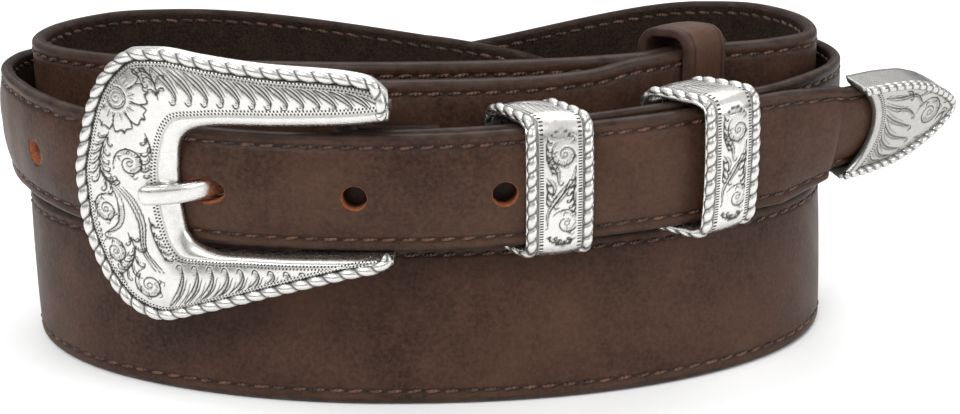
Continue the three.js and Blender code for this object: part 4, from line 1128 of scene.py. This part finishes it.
def buildFrame():
    look = frameLook
    rough = np.linspace(0, frameTable["turn"][-1], 2000)
    read = lambda column, turn: readTable(frameTable, "turn", column, turn)
    edge = lambda side, upright, turn: np.stack([
        read(side + "Along", turn) * buckle["length"], read(side + "Up", turn) * buckle[upright]], -1)
    flat = (edge("outer", "height", rough) + edge("inner", "openingHeight", rough)) / 2
    at = lengthsAlong(flat)
    turn = np.interp(np.linspace(0, at[-1], look["rings"]), at, rough)
    inner, outer = edge("inner", "openingHeight", turn), edge("outer", "height", turn)
    width = np.linalg.norm(outer - inner, axis=1)
    back = read("back", turn)
    onSide = smoothStep(*look["sideFrom"], turn) * (1 - smoothStep(*look["sideTo"], turn))
    band = look["bandArm"] + (look["bandSide"] - look["bandArm"]) * onSide
    band = band - look["lowNarrower"] * smoothStep(*look["lowFrom"], turn)
    zoneIn, zoneOut = band + 0.6, np.full(len(turn), look["ropeWidth"] + 0.5)
    squeeze = np.minimum(1, width * 0.94 / (zoneIn + zoneOut))
    zoneIn, zoneOut = (zoneIn * squeeze)[:, None], (zoneOut * squeeze)[:, None]
    w = width[:, None]
    t = lambda n: np.linspace(0, 1, n, endpoint=False)[None, :]
    inCount, fieldCount, outCount = look["grid"]
    distance = np.concatenate([zoneIn * t(inCount), zoneIn + (w - zoneIn - zoneOut) * t(fieldCount),
                               w - zoneOut + zoneOut * np.linspace(0, 1, outCount)[None, :]], 1)
    share = distance / w
    away = w - distance
    x = np.clip(distance / (band[:, None] * squeeze[:, None]), 0, 1)
    high = look["bandLow"] + (look["field"] - look["bandLow"]) * (1 - (1 - x) ** 2.2) ** 0.6
    free = np.maximum(w - band[:, None] - 2.9, 0.5)
    y = np.clip((distance - band[:, None]) / free, 0, 1)
    high = high + look["dome"] * 4 * y * (1 - y) * np.minimum(1, free / 14)
    high = high - 0.14 * np.exp(-((distance - band[:, None]) / 0.2) ** 2)
    ropeEdge = look["ropeWidth"] * np.minimum(1, squeeze[:, None] * 1.02)
    high = high - look["ropeStep"] * (1 - smoothStep(ropeEdge - 0.15, ropeEdge + 0.3, away))
    high = high - 1.1 * (1 - smoothStep(0, 0.55, away))
    flat = inner[:, None] + (outer - inner)[:, None] * share[..., None]
    drawing = engraveFrame()
    cut = drawing.at(buckle["length"] - flat[..., 0], flat[..., 1])
    field = smoothStep(1.2, 1.6, distance - band[:, None]) * smoothStep(3.95, 4.35, away)
    cut = cut * field
    cut = np.minimum(1.25 * cut, 1)
    high = high - look["cut"] * cut
    seam = np.exp(-((distance - band[:, None]) / 0.16) ** 2) * 0.45
    gutter = np.exp(-((away - ropeEdge - 0.05) / 0.28) ** 2) * 0.75
    patinaAndShade = np.clip(np.maximum(np.maximum(cut * 0.95, seam), gutter), 0, 1)
    # behind the arms' ends only the ears along the opening reach back to the heel bar
    ear = lambda part: back + (np.maximum(back, 1.2) - back) * smoothStep(0.3, 0.5, part)
    wall = []
    for part, level in frameWall:
        top = high[:, -1] if part > 0.5 else high[:, 0]
        wall.append((np.full(len(turn), part), ear(part) + (top - ear(part)) * level))
    wallShare = np.stack([part for part, level in wall], 1)
    wallHigh = np.stack([level for part, level in wall], 1)
    share = np.concatenate([share, wallShare], 1)
    high = np.concatenate([high, wallHigh], 1)
    flat = inner[:, None] + (outer - inner)[:, None] * share[..., None]
    points = framePoint(flat[..., 0], flat[..., 1], high)
    rows, columns = high.shape
    # borders of small cuts: inside the rope and outside the plain band
    unit = (outer - inner) / width[:, None]
    outerRun = lengthsAlong(outer - unit * look["millOuter"]) / look["millPitch"]
    innerRun = lengthsAlong(inner + unit * (band + look["millInner"])[:, None]) / look["millPitch"]
    fromOuter = away - look["millOuter"]
    fromInner = distance - band[:, None] - look["millInner"]
    useOuter = abs(fromOuter) < abs(fromInner)
    phase = np.where(useOuter, outerRun[:, None], innerRun[:, None])
    bandAt = np.where(useOuter, fromOuter, fromInner)
    blank = np.full(wallHigh.shape, noBorder)
    marks = {
        "patinaAndShade": np.concatenate([patinaAndShade, 0 * wallHigh], 1),
        "mill": np.concatenate([phase, 0 * wallHigh], 1),
        "millBand": np.concatenate([bandAt, blank], 1),
    }
    points, faces = points.reshape(-1, 3), loftFaces(rows, columns)
    # the heel bar between the arms' ends
    heel = heelPlace()
    spin = np.linspace(0, 2 * math.pi, look["barSides"], endpoint=False)
    spun = np.stack([np.cos(spin), np.sin(spin), 0 * spin], -1) * buckle["barDiameter"] / 2
    levels = np.linspace(-1, 1, 7) * look["barHalf"]
    bar = np.array([heel + spun + [0, 0, level] for level in levels])
    points, faces = addPart(points, faces, bar.reshape(-1, 3), loftFaces(len(levels), len(spin)))
    barMarks = plainMarks(np.full(bar.shape[:2], look["barPatina"]))
    marks = {key: np.concatenate([values.ravel(), barMarks[key]]) for key, values in marks.items()}
    plate = newPiece("buckle_plate", points, faces, [frameSilver], ["buckle_frame"],
                     marks=marks)
    # the rope goes round the outline and both arms' ends
    path = outer - unit * look["ropeInset"]
    inset = look["ropeInset"]
    keep = path[:, 0] > inset + 1.2
    path = path[keep][::6]
    upperEnd = [(inset + 1.0, inner[0, 1] + 0.9), (inset, inner[0, 1] + 2.0), (inset, outer[0, 1] - 2.4)]
    lowerEnd = [(inset + 0.2, outer[-1, 1] + 1.3), (inset, inner[-1, 1] - 0.2),
                (inset + 1.0, inner[-1, 1] + 0.6)]
    path = curveThrough(np.vstack([upperEnd, path, lowerEnd]), 0.3)
    lift = np.full(len(path), look["ropeOut"])
    spine = framePoint(path[:, 0], path[:, 1], lift)
    facing = framePoint(path[:, 0], path[:, 1], lift + 1) - spine
    made = rope(spine, facing, look["ropeRadius"], look["ropePitch"], look["ropeSides"])
    ropePiece("buckle_rope", [made], False, plainSilver)
    return plate


buckleFrame = buildFrame()
print("buckle frame made:", len(buckleFrame.data.polygons), "faces")


# Tongue: comes up through the middle hole and lies over the frame's left side
tongue = {"width": 4.9, "thick": 2.6, "reach": 13, "eyeWall": 1.8, "step": 0.4, "sides": 28, "eyeSides": 40}


def buildTongue():
    thick = billet["tipThick"]
    behind = -thick - strap["gap"] - tongue["thick"] / 2
    left = [-5, -3, -1, 1, 3, 6, 9.5, tongue["reach"] - 1.5, tongue["reach"]]
    out = [behind - 0.3, behind, -2.9, -0.2, 2.3, 4.7, 6.4, 6.9, 6.9]
    run = tipRoute.place(tongueHoleAt - np.array(left), np.array(out), np.zeros(len(left)))
    along, outward = buckleRoute.stationAt(0.0)[1:3]
    heel = heelPlace()
    level = heel[2]
    radius = buckle["barDiameter"] / 2 + strap["gap"]
    start = heel[:2] - along * (radius + tongue["eyeWall"] / 2)
    run = np.vstack([[*start, 0], run])
    run[:, 2] = level
    path = curveThrough(run, tongue["step"])
    way = waysAlong(path)
    across = np.stack([way[:, 1], -way[:, 0], 0 * way[:, 0]], -1)
    if (across[-1] @ np.array([*outward, 0])) < 0:
        across = -across
    at = np.linspace(0, 1, len(path))
    left = (1 - at) * (len(path) - 1) * tongue["step"]
    close = np.sqrt(np.clip(1 - (1 - np.clip(left / 2.0, 0, 1)) ** 2, 0.01, 1))
    spin = np.linspace(0, 2 * math.pi, tongue["sides"], endpoint=False)
    c, s = np.cos(spin), np.sin(spin)
    wide = np.sign(c) * abs(c) ** 0.62 * tongue["width"] / 2
    deep = np.sign(s) * abs(s) ** 0.72 * tongue["thick"] / 2
    taper = (1 - 0.1 * at)[:, None] * close[:, None]
    points = path[:, None] + across[:, None] * (deep[None, :] * close[:, None])[..., None]
    points[..., 2] += wide[None, :] * taper
    rows, columns = points.shape[:2]
    faces = loftFaces(rows, columns)
    points = points.reshape(-1, 3)
    # the eye round the heel bar
    spin = np.linspace(0, 2 * math.pi, tongue["eyeSides"], endpoint=False)
    half, wall = tongue["width"] / 2, tongue["eyeWall"]
    section = [(radius, -half + 0.3), (radius, half - 0.3), (radius + 0.3, half), (radius + wall - 0.3, half),
               (radius + wall, half - 0.3), (radius + wall, -half + 0.3), (radius + wall - 0.3, -half),
               (radius + 0.3, -half)]
    eye = np.array([[(heel[0] + r * math.cos(a), heel[1] + r * math.sin(a), level + z) for r, z in section]
                    for a in spin])
    points, faces = addPart(points, faces, eye.reshape(-1, 3), loftFaces(len(spin), len(section), True))
    return newPiece("tongue_bar", points, faces, [plainSilver], ["buckle_tongue"], angle=40)


buildTongue()
print("tongue made")


# Metal keepers: engraved bands with a rope along each edge
keeper = {
    "width": 15, "wall": 1.2, "slack": 4, "skew": 0.65, "corner": 2.6, "dome": 0.8, "ropeRadius": 1.25,
    "ropePitch": 3.3, "ropeInset": 1.3, "ropeSides": 16, "ropeStep": 0.32, "columns": 60, "cut": 0.1,
    "millPitch": 0.62, "millInset": 3.3,
    "seats": [{"angle": 285.3, "drop": 0.7, "yaw": 0, "pitch": 0.12},
              {"angle": 306.8, "drop": 0.15, "yaw": 0.22, "pitch": 0.06}],
}


def engraveKeeper():
    # x across the keeper and y up its front from the middle, running on over its top
    drawing = Engraving((-8, -18), (8, 34))
    drawing.scroll((0.9, 8.2), 3.5, 120, 1)
    drawing.scroll((1.3, -7.6), 3.7, 150, -1)
    drawing.leaf([(3.3, 5.6), (2.6, 2.0), (-0.4, -1.6), (-2.6, -5.0), (-2.9, -8.5)], -0.9)
    drawing.frond([(-2.9, 12.4), (-3.2, 8.0), (-1.9, 3.8)], 1.6, 1.5, (1,))
    drawing.frond([(3.4, 3.4), (2.7, -1.0), (3.3, -5.0)], 1.5, 1.4, (-1,))
    drawing.frond([(-3.4, 2.6), (-3.0, 0.2), (-3.3, -3.2)], 1.5, 1.4, (1,))
    drawing.frond([(3.4, -11.4), (0.6, -12.6), (-2.8, -11.6)], 1.5, 1.4, (-1,))
    drawing.leaf([(1.9, 2.6), (0.4, -0.6), (-1.6, -3.4)], 0.7, 0.5)
    drawing.leaf([(-3.1, 7.4), (-1.2, 4.6), (-0.6, 1.6)], 0.8, 0.7)
    drawing.leaf([(-3.2, 3.2), (-1.8, 1.0), (-2.0, -1.2)], 0.7, 0.5)
    drawing.leaf([(3.5, 1.6), (2.6, -1.0), (3.2, -3.6)], 0.7, 0.6)
    drawing.leaf([(-3.2, -10.8), (-1.0, -12.3), (2.2, -12.4)], 0.8, 0.6)
    drawing.leaf([(-2.6, 12.2), (0.2, 13.0), (2.9, 11.8)], -0.8, 0.5)
    for k in range(6):
        drawing.line([(-3.6 + k * 1.1, 16.2), (-3.0 + k * 1.25, 20.5), (-1.4 + k * 0.95, 25.5)], 0.42, 0.85)
    drawing.leaf([(3.2, 16.4), (1.8, 19.6), (-1.4, 22.6)], 0.9, 0.6)
    return drawing


def keeperPath(inner, outer, lower, upper, corner):
    # once round, from the middle of the front upwards: a dense front and top, a coarser back
    middle = (lower + upper) / 2
    tall = upper - lower
    frontStep, topStep, backStep, lowStep = 0.27, 0.3, 0.8, 0.5
    line = []

    def run(facing, values, u=None, v=None):
        line.extend((value if u is None else u, value if v is None else v, facing) for value in values)

    def bend(u, v, start, count):
        for turn in np.linspace(start, start + 90, count):
            line.append((u + corner * math.cos(turn * degree), v + corner * math.sin(turn * degree), turn))

    run(0, np.arange(middle, upper - corner, frontStep), u=outer)
    bend(outer - corner, upper - corner, 0, 12)
    run(90, np.arange(outer - corner - topStep, inner + corner, -topStep), v=upper)
    bend(inner + corner, upper - corner, 90, 8)
    run(180, np.arange(upper - corner - backStep, lower + corner, -backStep), u=inner)
    bend(inner + corner, lower + corner, 180, 8)
    run(270, np.arange(inner + corner + lowStep, outer - corner, lowStep), v=lower)
    bend(outer - corner, lower + corner, 270, 12)
    run(360, np.arange(lower + corner + frontStep, middle - 0.1, frontStep), u=outer)
    line = np.array(line)
    turn = line[:, 2] * degree
    # the front swells over the padded strap
    share = np.clip((line[:, 1] - lower) / tall, 0, 1)
    onFront = line[:, 0] > outer - corner - 1e-6
    line[:, 0] += np.where(onFront, billet["tipCrown"] * np.sin(math.pi * share) ** 0.7, 0)
    return line[:, :2], np.stack([np.cos(turn), np.sin(turn)], -1)


def buildKeeper(number, seat, drawing):
    at = tipRoute.lengthAt(seat["angle"])
    read = lambda table: float(readTable(table, "angle", "height", seat["angle"]))
    step = read(buckleTable) - read(tipTable)
    stackInner = -underTip - billet["buckleThick"]
    gap = clearance["sleeve"]
    inner, outer = stackInner - gap - keeper["slack"], gap + seat["yaw"] * keeper["width"] / 2
    lower, upper = min(0, step) - gap - seat["drop"], billet["width"] + max(0, step) + gap
    path, normal = keeperPath(inner, outer, lower, upper, keeper["corner"])
    around = lengthsAlong(path)
    total = around[-1] + np.linalg.norm(path[0] - path[-1])
    height = np.where(around > total * 0.62, around - total, around)
    half, wall = keeper["width"] / 2, keeper["wall"]

    def place(beside, lift):
        beside, lift = np.broadcast_arrays(np.asarray(beside, float), np.asarray(lift, float))
        u = path[:, 0][:, None] + normal[:, 0][:, None] * lift
        v = path[:, 1][:, None] + normal[:, 1][:, None] * lift
        s = at + beside + np.minimum(u, outer) * keeper["skew"]
        return tipRoute.place(s, u - beside * seat["yaw"], v + np.maximum(outer - u, 0) * seat["pitch"])

    field = np.linspace(-half + 0.5, half - 0.5, keeper["columns"])
    edge = half - abs(field)
    dent = 0.45 * (1 - smoothStep(2.35, 2.75, edge))
    level = wall + keeper["dome"] * (1 - (field / half) ** 2) - dent
    outside = place(field[None, :], level[None, :])
    cut = drawing.at(np.broadcast_to(field[None, :], outside.shape[:2]),
                     np.broadcast_to(height[:, None], outside.shape[:2]))
    cut = cut * smoothStep(3.95, 4.3, edge)[None, :]
    level = level[None, :] - keeper["cut"] * cut
    rim = [(half - 0.15, wall * 0.75), (half, wall * 0.5), (half, 0.25), (half - 0.2, 0.0)]
    inside = np.linspace(half - 2, -half + 2, 5)
    beside = np.concatenate([field, [b for b, l in rim], inside, [-b for b, l in rim[::-1]]])
    fixed = np.concatenate([[l for b, l in rim], 0 * inside, [l for b, l in rim[::-1]]])
    level = np.concatenate([level, np.repeat(fixed[None, :], len(path), 0)], 1)
    points = place(beside[None, :], level)
    rows, columns = points.shape[:2]
    extra = columns - len(field)
    gutter = np.exp(-((edge - 2.6) / 0.25) ** 2) * 0.7
    patinaAndShade = np.maximum(cut * 0.95, gutter[None, :])
    patinaAndShade = np.concatenate([patinaAndShade, np.zeros((rows, extra))], 1)
    phase = np.repeat((around / keeper["millPitch"])[:, None], columns, 1)
    bandAt = np.concatenate([edge - keeper["millInset"], np.full(extra, noBorder)])
    marks = {"patinaAndShade": patinaAndShade, "mill": phase, "millBand": np.repeat(bandAt[None, :], rows, 0)}
    newPiece(f"keeper_band_{number}", points.reshape(-1, 3), loftFaces(rows, columns, True),
             [keeperSilver], [f"metal_keeper_{number}"], marks=marks)
    made = []
    for side in (-1, 1):
        row = np.array([[side * (half - keeper["ropeInset"])]])
        spine = place(row, wall * 0.85)[:, 0]
        face = place(row, wall * 0.85 + 1)[:, 0] - spine
        spineAt = lengthsAlong(spine)
        length = spineAt[-1] + np.linalg.norm(spine[0] - spine[-1])
        even = np.linspace(0, length, int(length / keeper["ropeStep"]), endpoint=False)
        closedAt = np.append(spineAt, length)
        spread = lambda values: np.stack([np.interp(even, closedAt, np.append(values[:, k], values[0, k]))
                                          for k in range(3)], -1)
        made.append(rope(spread(spine), spread(face), keeper["ropeRadius"], keeper["ropePitch"],
                         keeper["ropeSides"], True))
    ropePiece(f"keeper_ropes_{number}", made, True, plainSilver)


keeperDrawing = engraveKeeper()
for number, seat in enumerate(keeper["seats"], 1):
    buildKeeper(number, seat, keeperDrawing)
print("metal keepers made")


# Belt tip: a hollow metal end with a curved mouth, a sunk engraved face and a rope round it
tip = {
    "share": [0, 0.2, 0.45, 0.62, 0.77, 0.88, 0.96, 1], "half": [1, 1, 0.95, 0.82, 0.62, 0.42, 0.22, 0.08],
    "thick": [1, 1, 0.98, 0.92, 0.84, 0.74, 0.6, 0.45], "spare": 1.5, "rows": 190, "columns": 104,
    "pocket": 0.46, "lip": 2.0, "lipHigh": 0.55, "sunk": 0.5, "ropeRadius": 1.15, "ropePitch": 2.6,
    "ropeInset": 1.0, "ropePoints": 90, "ropeSides": 18, "cut": 0.1, "corner": 0.8,
}
# the tip and its rope are the same silver painted darker, to 0.66 and 0.85 of its brightness: painted shade
tipSilver = silverFinish("tipSilver", {"rows": [(-0.34, 0.0), (0.34, 0.5)], "half": 0.24}, 0.66)
tipRopeSilver = silverFinish("tipRopeSilver", None, 0.85)


def engraveTip():
    # x from the mouth's ends to the point and y up from the middle
    drawing = Engraving((-1, -14), (39, 14))
    drawing.scroll((26.8, 1.0), 4.9, 170, -1, 1.6, 3)
    drawing.leaf([(24.0, -5.6), (28.5, -6.2), (32.2, -3.0), (33.0, 0.6)], 0.9, 0.7)
    drawing.leaf([(21.6, 6.6), (25.6, 7.6), (29.8, 6.2), (32.6, 3.2)], -0.9, 0.6)
    fan = [((9.5, 8.2), (15.0, 7.4), (20.5, 7.2), (23.5, 4.4)),
           ((9.8, 6.4), (14.5, 4.6), (18.8, 3.6), (21.6, 1.4)),
           ((10.4, 4.4), (13.8, 1.8), (17.4, 0.0), (21.4, -1.6)),
           ((11.0, 2.4), (13.4, -1.2), (16.4, -3.4), (21.6, -5.0)),
           ((11.4, 0.0), (12.4, -3.6), (15.2, -6.2), (19.8, -7.6)),
           ((11.2, -2.6), (11.6, -5.6), (13.4, -8.0), (17.2, -9.0)),
           ((10.2, -5.6), (10.0, -7.6), (11.4, -9.2), (14.2, -9.7))]
    for path in fan:
        drawing.leaf(path, -0.75, 0.65, 1.3)
        drawing.line([(x + 0.7, y + 0.45) for x, y in path[:3]], 0.35, 0.75)
    drawing.leaf([(16.5, 8.9), (18.6, 8.2), (19.6, 6.6)], -0.6, 0.5)
    drawing.leaf([(30.2, -1.8), (31.6, -0.6), (33.6, -0.4)], 0.5, 0.4)
    return drawing


def buildTip():
    outer = billet["tipCrown"] + tip["spare"]
    inner = -billet["tipThick"] - tip["spare"]
    deep, middle = (outer - inner) / 2, (outer + inner) / 2
    centre = billet["width"] / 2
    high = centre * tipEnd["narrow"] + tip["spare"]
    radius = (centre**2 + tipEnd["mouth"] ** 2) / (2 * tipEnd["mouth"])
    length = tipEnd["length"]
    mouthAt = lambda y: tipEnd["mouth"] - radius + np.sqrt(np.maximum(radius**2 - y**2, 1))

    def place(x, y, u):
        x, y, u = np.broadcast_arrays(x, y, u)
        at = tipMouthAt + x
        point, along, outward, height, lean, rise, narrow = tipRoute.station(at)
        tilt = lean * degree
        v = centre + y
        across = u * np.cos(tilt) + (2 * centre - v) * np.sin(tilt)
        up = v * np.cos(tilt) + u * np.sin(tilt)
        return np.concatenate([point + outward * across[..., None], (height + up)[..., None]], -1)

    read = lambda column, x: readTable(tip, "share", column, x / length)
    face = np.sin(np.linspace(-1, 1, tip["columns"]) * math.pi / 2 * 0.86) / math.sin(math.pi / 2 * 0.86)
    # once round the section: front face, upper wall, back and lower wall
    wall = np.linspace(0, 1, 9)[1:-1]
    back = np.linspace(1, -1, 13)
    y = np.concatenate([face, np.ones(7), back, -np.ones(7)])
    depth = np.concatenate([np.zeros(len(face)), wall, np.ones(13), wall[::-1]])
    front = depth == 0
    start = mouthAt(y * high)
    ramp = np.linspace(0, 1, tip["rows"]) ** 1.05
    x = start[None, :] + (length - start)[None, :] * ramp[:, None]
    half = high * read("half", x)
    thick = deep * read("thick", x)
    fromMouth = x - start[None, :]
    fromEdge = half * (1 - abs(y)[None, :])
    lip = np.exp(-((fromMouth - tip["lip"] * 0.45) / (tip["lip"] * 0.42)) ** 4)
    sunk = tip["sunk"] * smoothStep(1.55, 2.1, fromEdge) * smoothStep(tip["lip"], tip["lip"] + 0.5, fromMouth)
    dome = 0.35 * (1 - y[None, :] ** 2)
    drawing = engraveTip()
    cut = drawing.at(x, y[None, :] * half)
    field = smoothStep(2.1, 2.5, fromEdge) * smoothStep(tip["lip"] + 1.6, tip["lip"] + 2.1, fromMouth)
    cut = cut * field * front[None, :]
    lift = front[None, :] * (tip["lipHigh"] * lip * 0.6 - sunk + dome - tip["cut"] * cut
                             - 0.55 * (1 - smoothStep(0, 0.9, fromEdge)))
    u = middle + thick - 2 * thick * depth[None, :] + lift
    shoulder = 1 - np.clip(fromEdge / 0.8, 0, 1)
    rounded = tip["corner"] * (front[None, :] * (1 - np.sqrt(np.clip(1 - shoulder**2, 0, 1))))
    outside = place(x, y[None, :] * half, u - rounded * 0.3)
    # inside the mouth, a hollow for the billet's end
    inward = np.linspace(0, tip["pocket"] * length, 24)[1:]
    hollow = []
    for k, go in enumerate([0.0, 0.0, *inward]):
        shrink = 0.35 if k == 0 else 1.15
        own = start + go * (1 - 0.4 * start / (tip["pocket"] * length)) - (0.1 if k == 0 else 0)
        hHalf = high * read("half", own) - shrink
        hThick = deep * read("thick", own) - shrink * 0.92
        hollow.append(place(own, y * hHalf, middle + hThick - 2 * hThick * depth))
    hollow = np.array(hollow[::-1])
    points = np.concatenate([hollow, outside])
    rows, columns = points.shape[:2]
    gutter = np.exp(-((fromEdge - 2.0) / 0.3) ** 2) * smoothStep(1.5, 2.5, fromMouth) * 0.85
    beside = np.exp(-((fromMouth - tip["lip"] - 0.15) / 0.3) ** 2) * 0.55
    patinaAndShade = np.clip(np.maximum(np.maximum(cut * 0.95, gutter), beside) * front[None, :], 0, 1)
    # painted shade: the hollow inside the mouth is darkened through the patina mark, most at its deepest and
    # least at the mouth
    shade = np.repeat(np.linspace(0.9, 0.15, len(hollow))[:, None], columns, 1)
    run = np.repeat((y * high)[None, :], len(outside), 0) / 0.62
    bandAt = np.where(front[None, :] & (fromEdge > 2.2), fromMouth - tip["lip"] - 1.0, noBorder)
    marks = {"patinaAndShade": np.concatenate([shade, patinaAndShade]).ravel(),
             "mill": np.concatenate([0 * shade, run]).ravel(),
             "millBand": np.concatenate([0 * shade + noBorder, bandAt]).ravel()}
    newPiece("tip_shell", points.reshape(-1, 3), loftFaces(rows, columns), [tipSilver],
             ["belt_tip"], marks=marks)
    # the rope runs along the upper edge to the point and back along the lower one
    begin = float(mouthAt(high)) + 0.4
    count = tip["ropePoints"]
    go = np.concatenate([np.linspace(begin, length - 1.2, count), [length - 0.2, length - 0.2],
                         np.linspace(length - 1.2, begin, count)])
    side = np.concatenate([np.ones(count), [0.4, -0.4], -np.ones(count)])
    edge = np.maximum(high * read("half", go) - tip["ropeInset"], 0.25)
    level = middle + deep * read("thick", go) - 0.1
    spine = curveThrough(place(go, side * edge, level), 0.22)
    facing = curveThrough(place(go, side * edge, level + 1), 0.22)
    facing = facing[np.linspace(0, len(facing) - 1, len(spine)).astype(int)] - spine
    share = np.linspace(0, 1, len(spine))
    fat = tip["ropeRadius"] * (0.72 + 0.28 * np.clip(abs(share - 0.5) * 5, 0, 1))
    made = rope(spine, facing, fat, tip["ropePitch"], tip["ropeSides"])
    ropePiece("tip_rope", [made], False, tipRopeSilver)


buildTip()
print("belt tip made")


# Camera, light and floor
view = {"from": (14.5, -365, 150), "towards": (14.5, 0, 26.5), "focal": 1425, "roll": -0.014, "width": 960,
        "sensor": 36}


def placeCamera():
    data = bpy.data.cameras.new("camera")
    data.sensor_width = view["sensor"]
    data.lens = view["focal"] * data.sensor_width / view["width"]
    data.clip_start, data.clip_end = 0.01, 20
    camera = bpy.data.objects.new("camera", data)
    bpy.context.scene.collection.objects.link(camera)
    place = Vector((np.array(view["from"]) + coilCentre) * mm)
    forward = (Vector((np.array(view["towards"]) + coilCentre) * mm) - place).normalized()
    right = forward.cross(Vector((0, 0, 1))).normalized()
    up = right.cross(forward)
    c, s = math.cos(view["roll"]), math.sin(view["roll"])
    right, up = c * right + s * up, c * up - s * right
    turn = Matrix((right, up, -forward)).transposed()
    camera.matrix_world = Matrix.Translation(place) @ turn.to_4x4()
    bpy.context.scene.camera = camera


def placeLight(name, place, size, power, towards=(0, 0, 0.04)):
    data = bpy.data.lights.new(name, "AREA")
    data.shape = "RECTANGLE"
    data.size, data.size_y = size
    data.energy = power
    light = bpy.data.objects.new(name, data)
    bpy.context.scene.collection.objects.link(light)
    light.location = place
    light.rotation_euler = (Vector(towards) - Vector(place)).to_track_quat("-Z", "Y").to_euler()


placeCamera()
bpy.context.scene.view_settings.view_transform = "Standard"
placeLight("keyLight", (-0.55, -0.75, 0.95), (0.7, 0.5), 9)
placeLight("fillLight", (0.9, -0.6, 0.5), (0.6, 0.6), 4)
placeLight("topLight", (0.1, 0.35, 1.1), (1.0, 0.6), 7)

bpy.ops.object.select_all(action="DESELECT")
bpy.ops.mesh.primitive_plane_add(size=6, location=(0, 0, 0))
floor = bpy.context.object
floor.name = "floor"
floorFinish = Finish("paleFloor", {"Base Color": (0.9, 0.9, 0.9, 1), "Roughness": 0.6})
floor.data.materials.append(floorFinish.material)

world = bpy.data.worlds.new("studio")
bpy.context.scene.world = world
world.use_nodes = True
shade = world.node_tree.nodes.new("ShaderNodeValToRGB")
sky = world.node_tree.nodes.new("ShaderNodeTexGradient")
turned = world.node_tree.nodes.new("ShaderNodeMapping")
place = world.node_tree.nodes.new("ShaderNodeTexCoord")
turned.inputs["Rotation"].default_value = (0, math.pi / 2, 0)
world.node_tree.links.new(place.outputs["Generated"], turned.inputs["Vector"])
world.node_tree.links.new(turned.outputs[0], sky.inputs[0])
world.node_tree.links.new(sky.outputs["Fac"], shade.inputs[0])
world.node_tree.links.new(shade.outputs["Color"], world.node_tree.nodes["Background"].inputs["Color"])
# dark near the horizon and bright above, so that the metal has something to reflect
shade.color_ramp.elements[0].position = 0.04
shade.color_ramp.elements[0].color = (0.12, 0.115, 0.11, 1)
shade.color_ramp.elements[1].position = 0.42
shade.color_ramp.elements[1].color = (1, 1, 1, 1)
world.node_tree.nodes["Background"].inputs["Strength"].default_value = 0.9

print("scene finished")
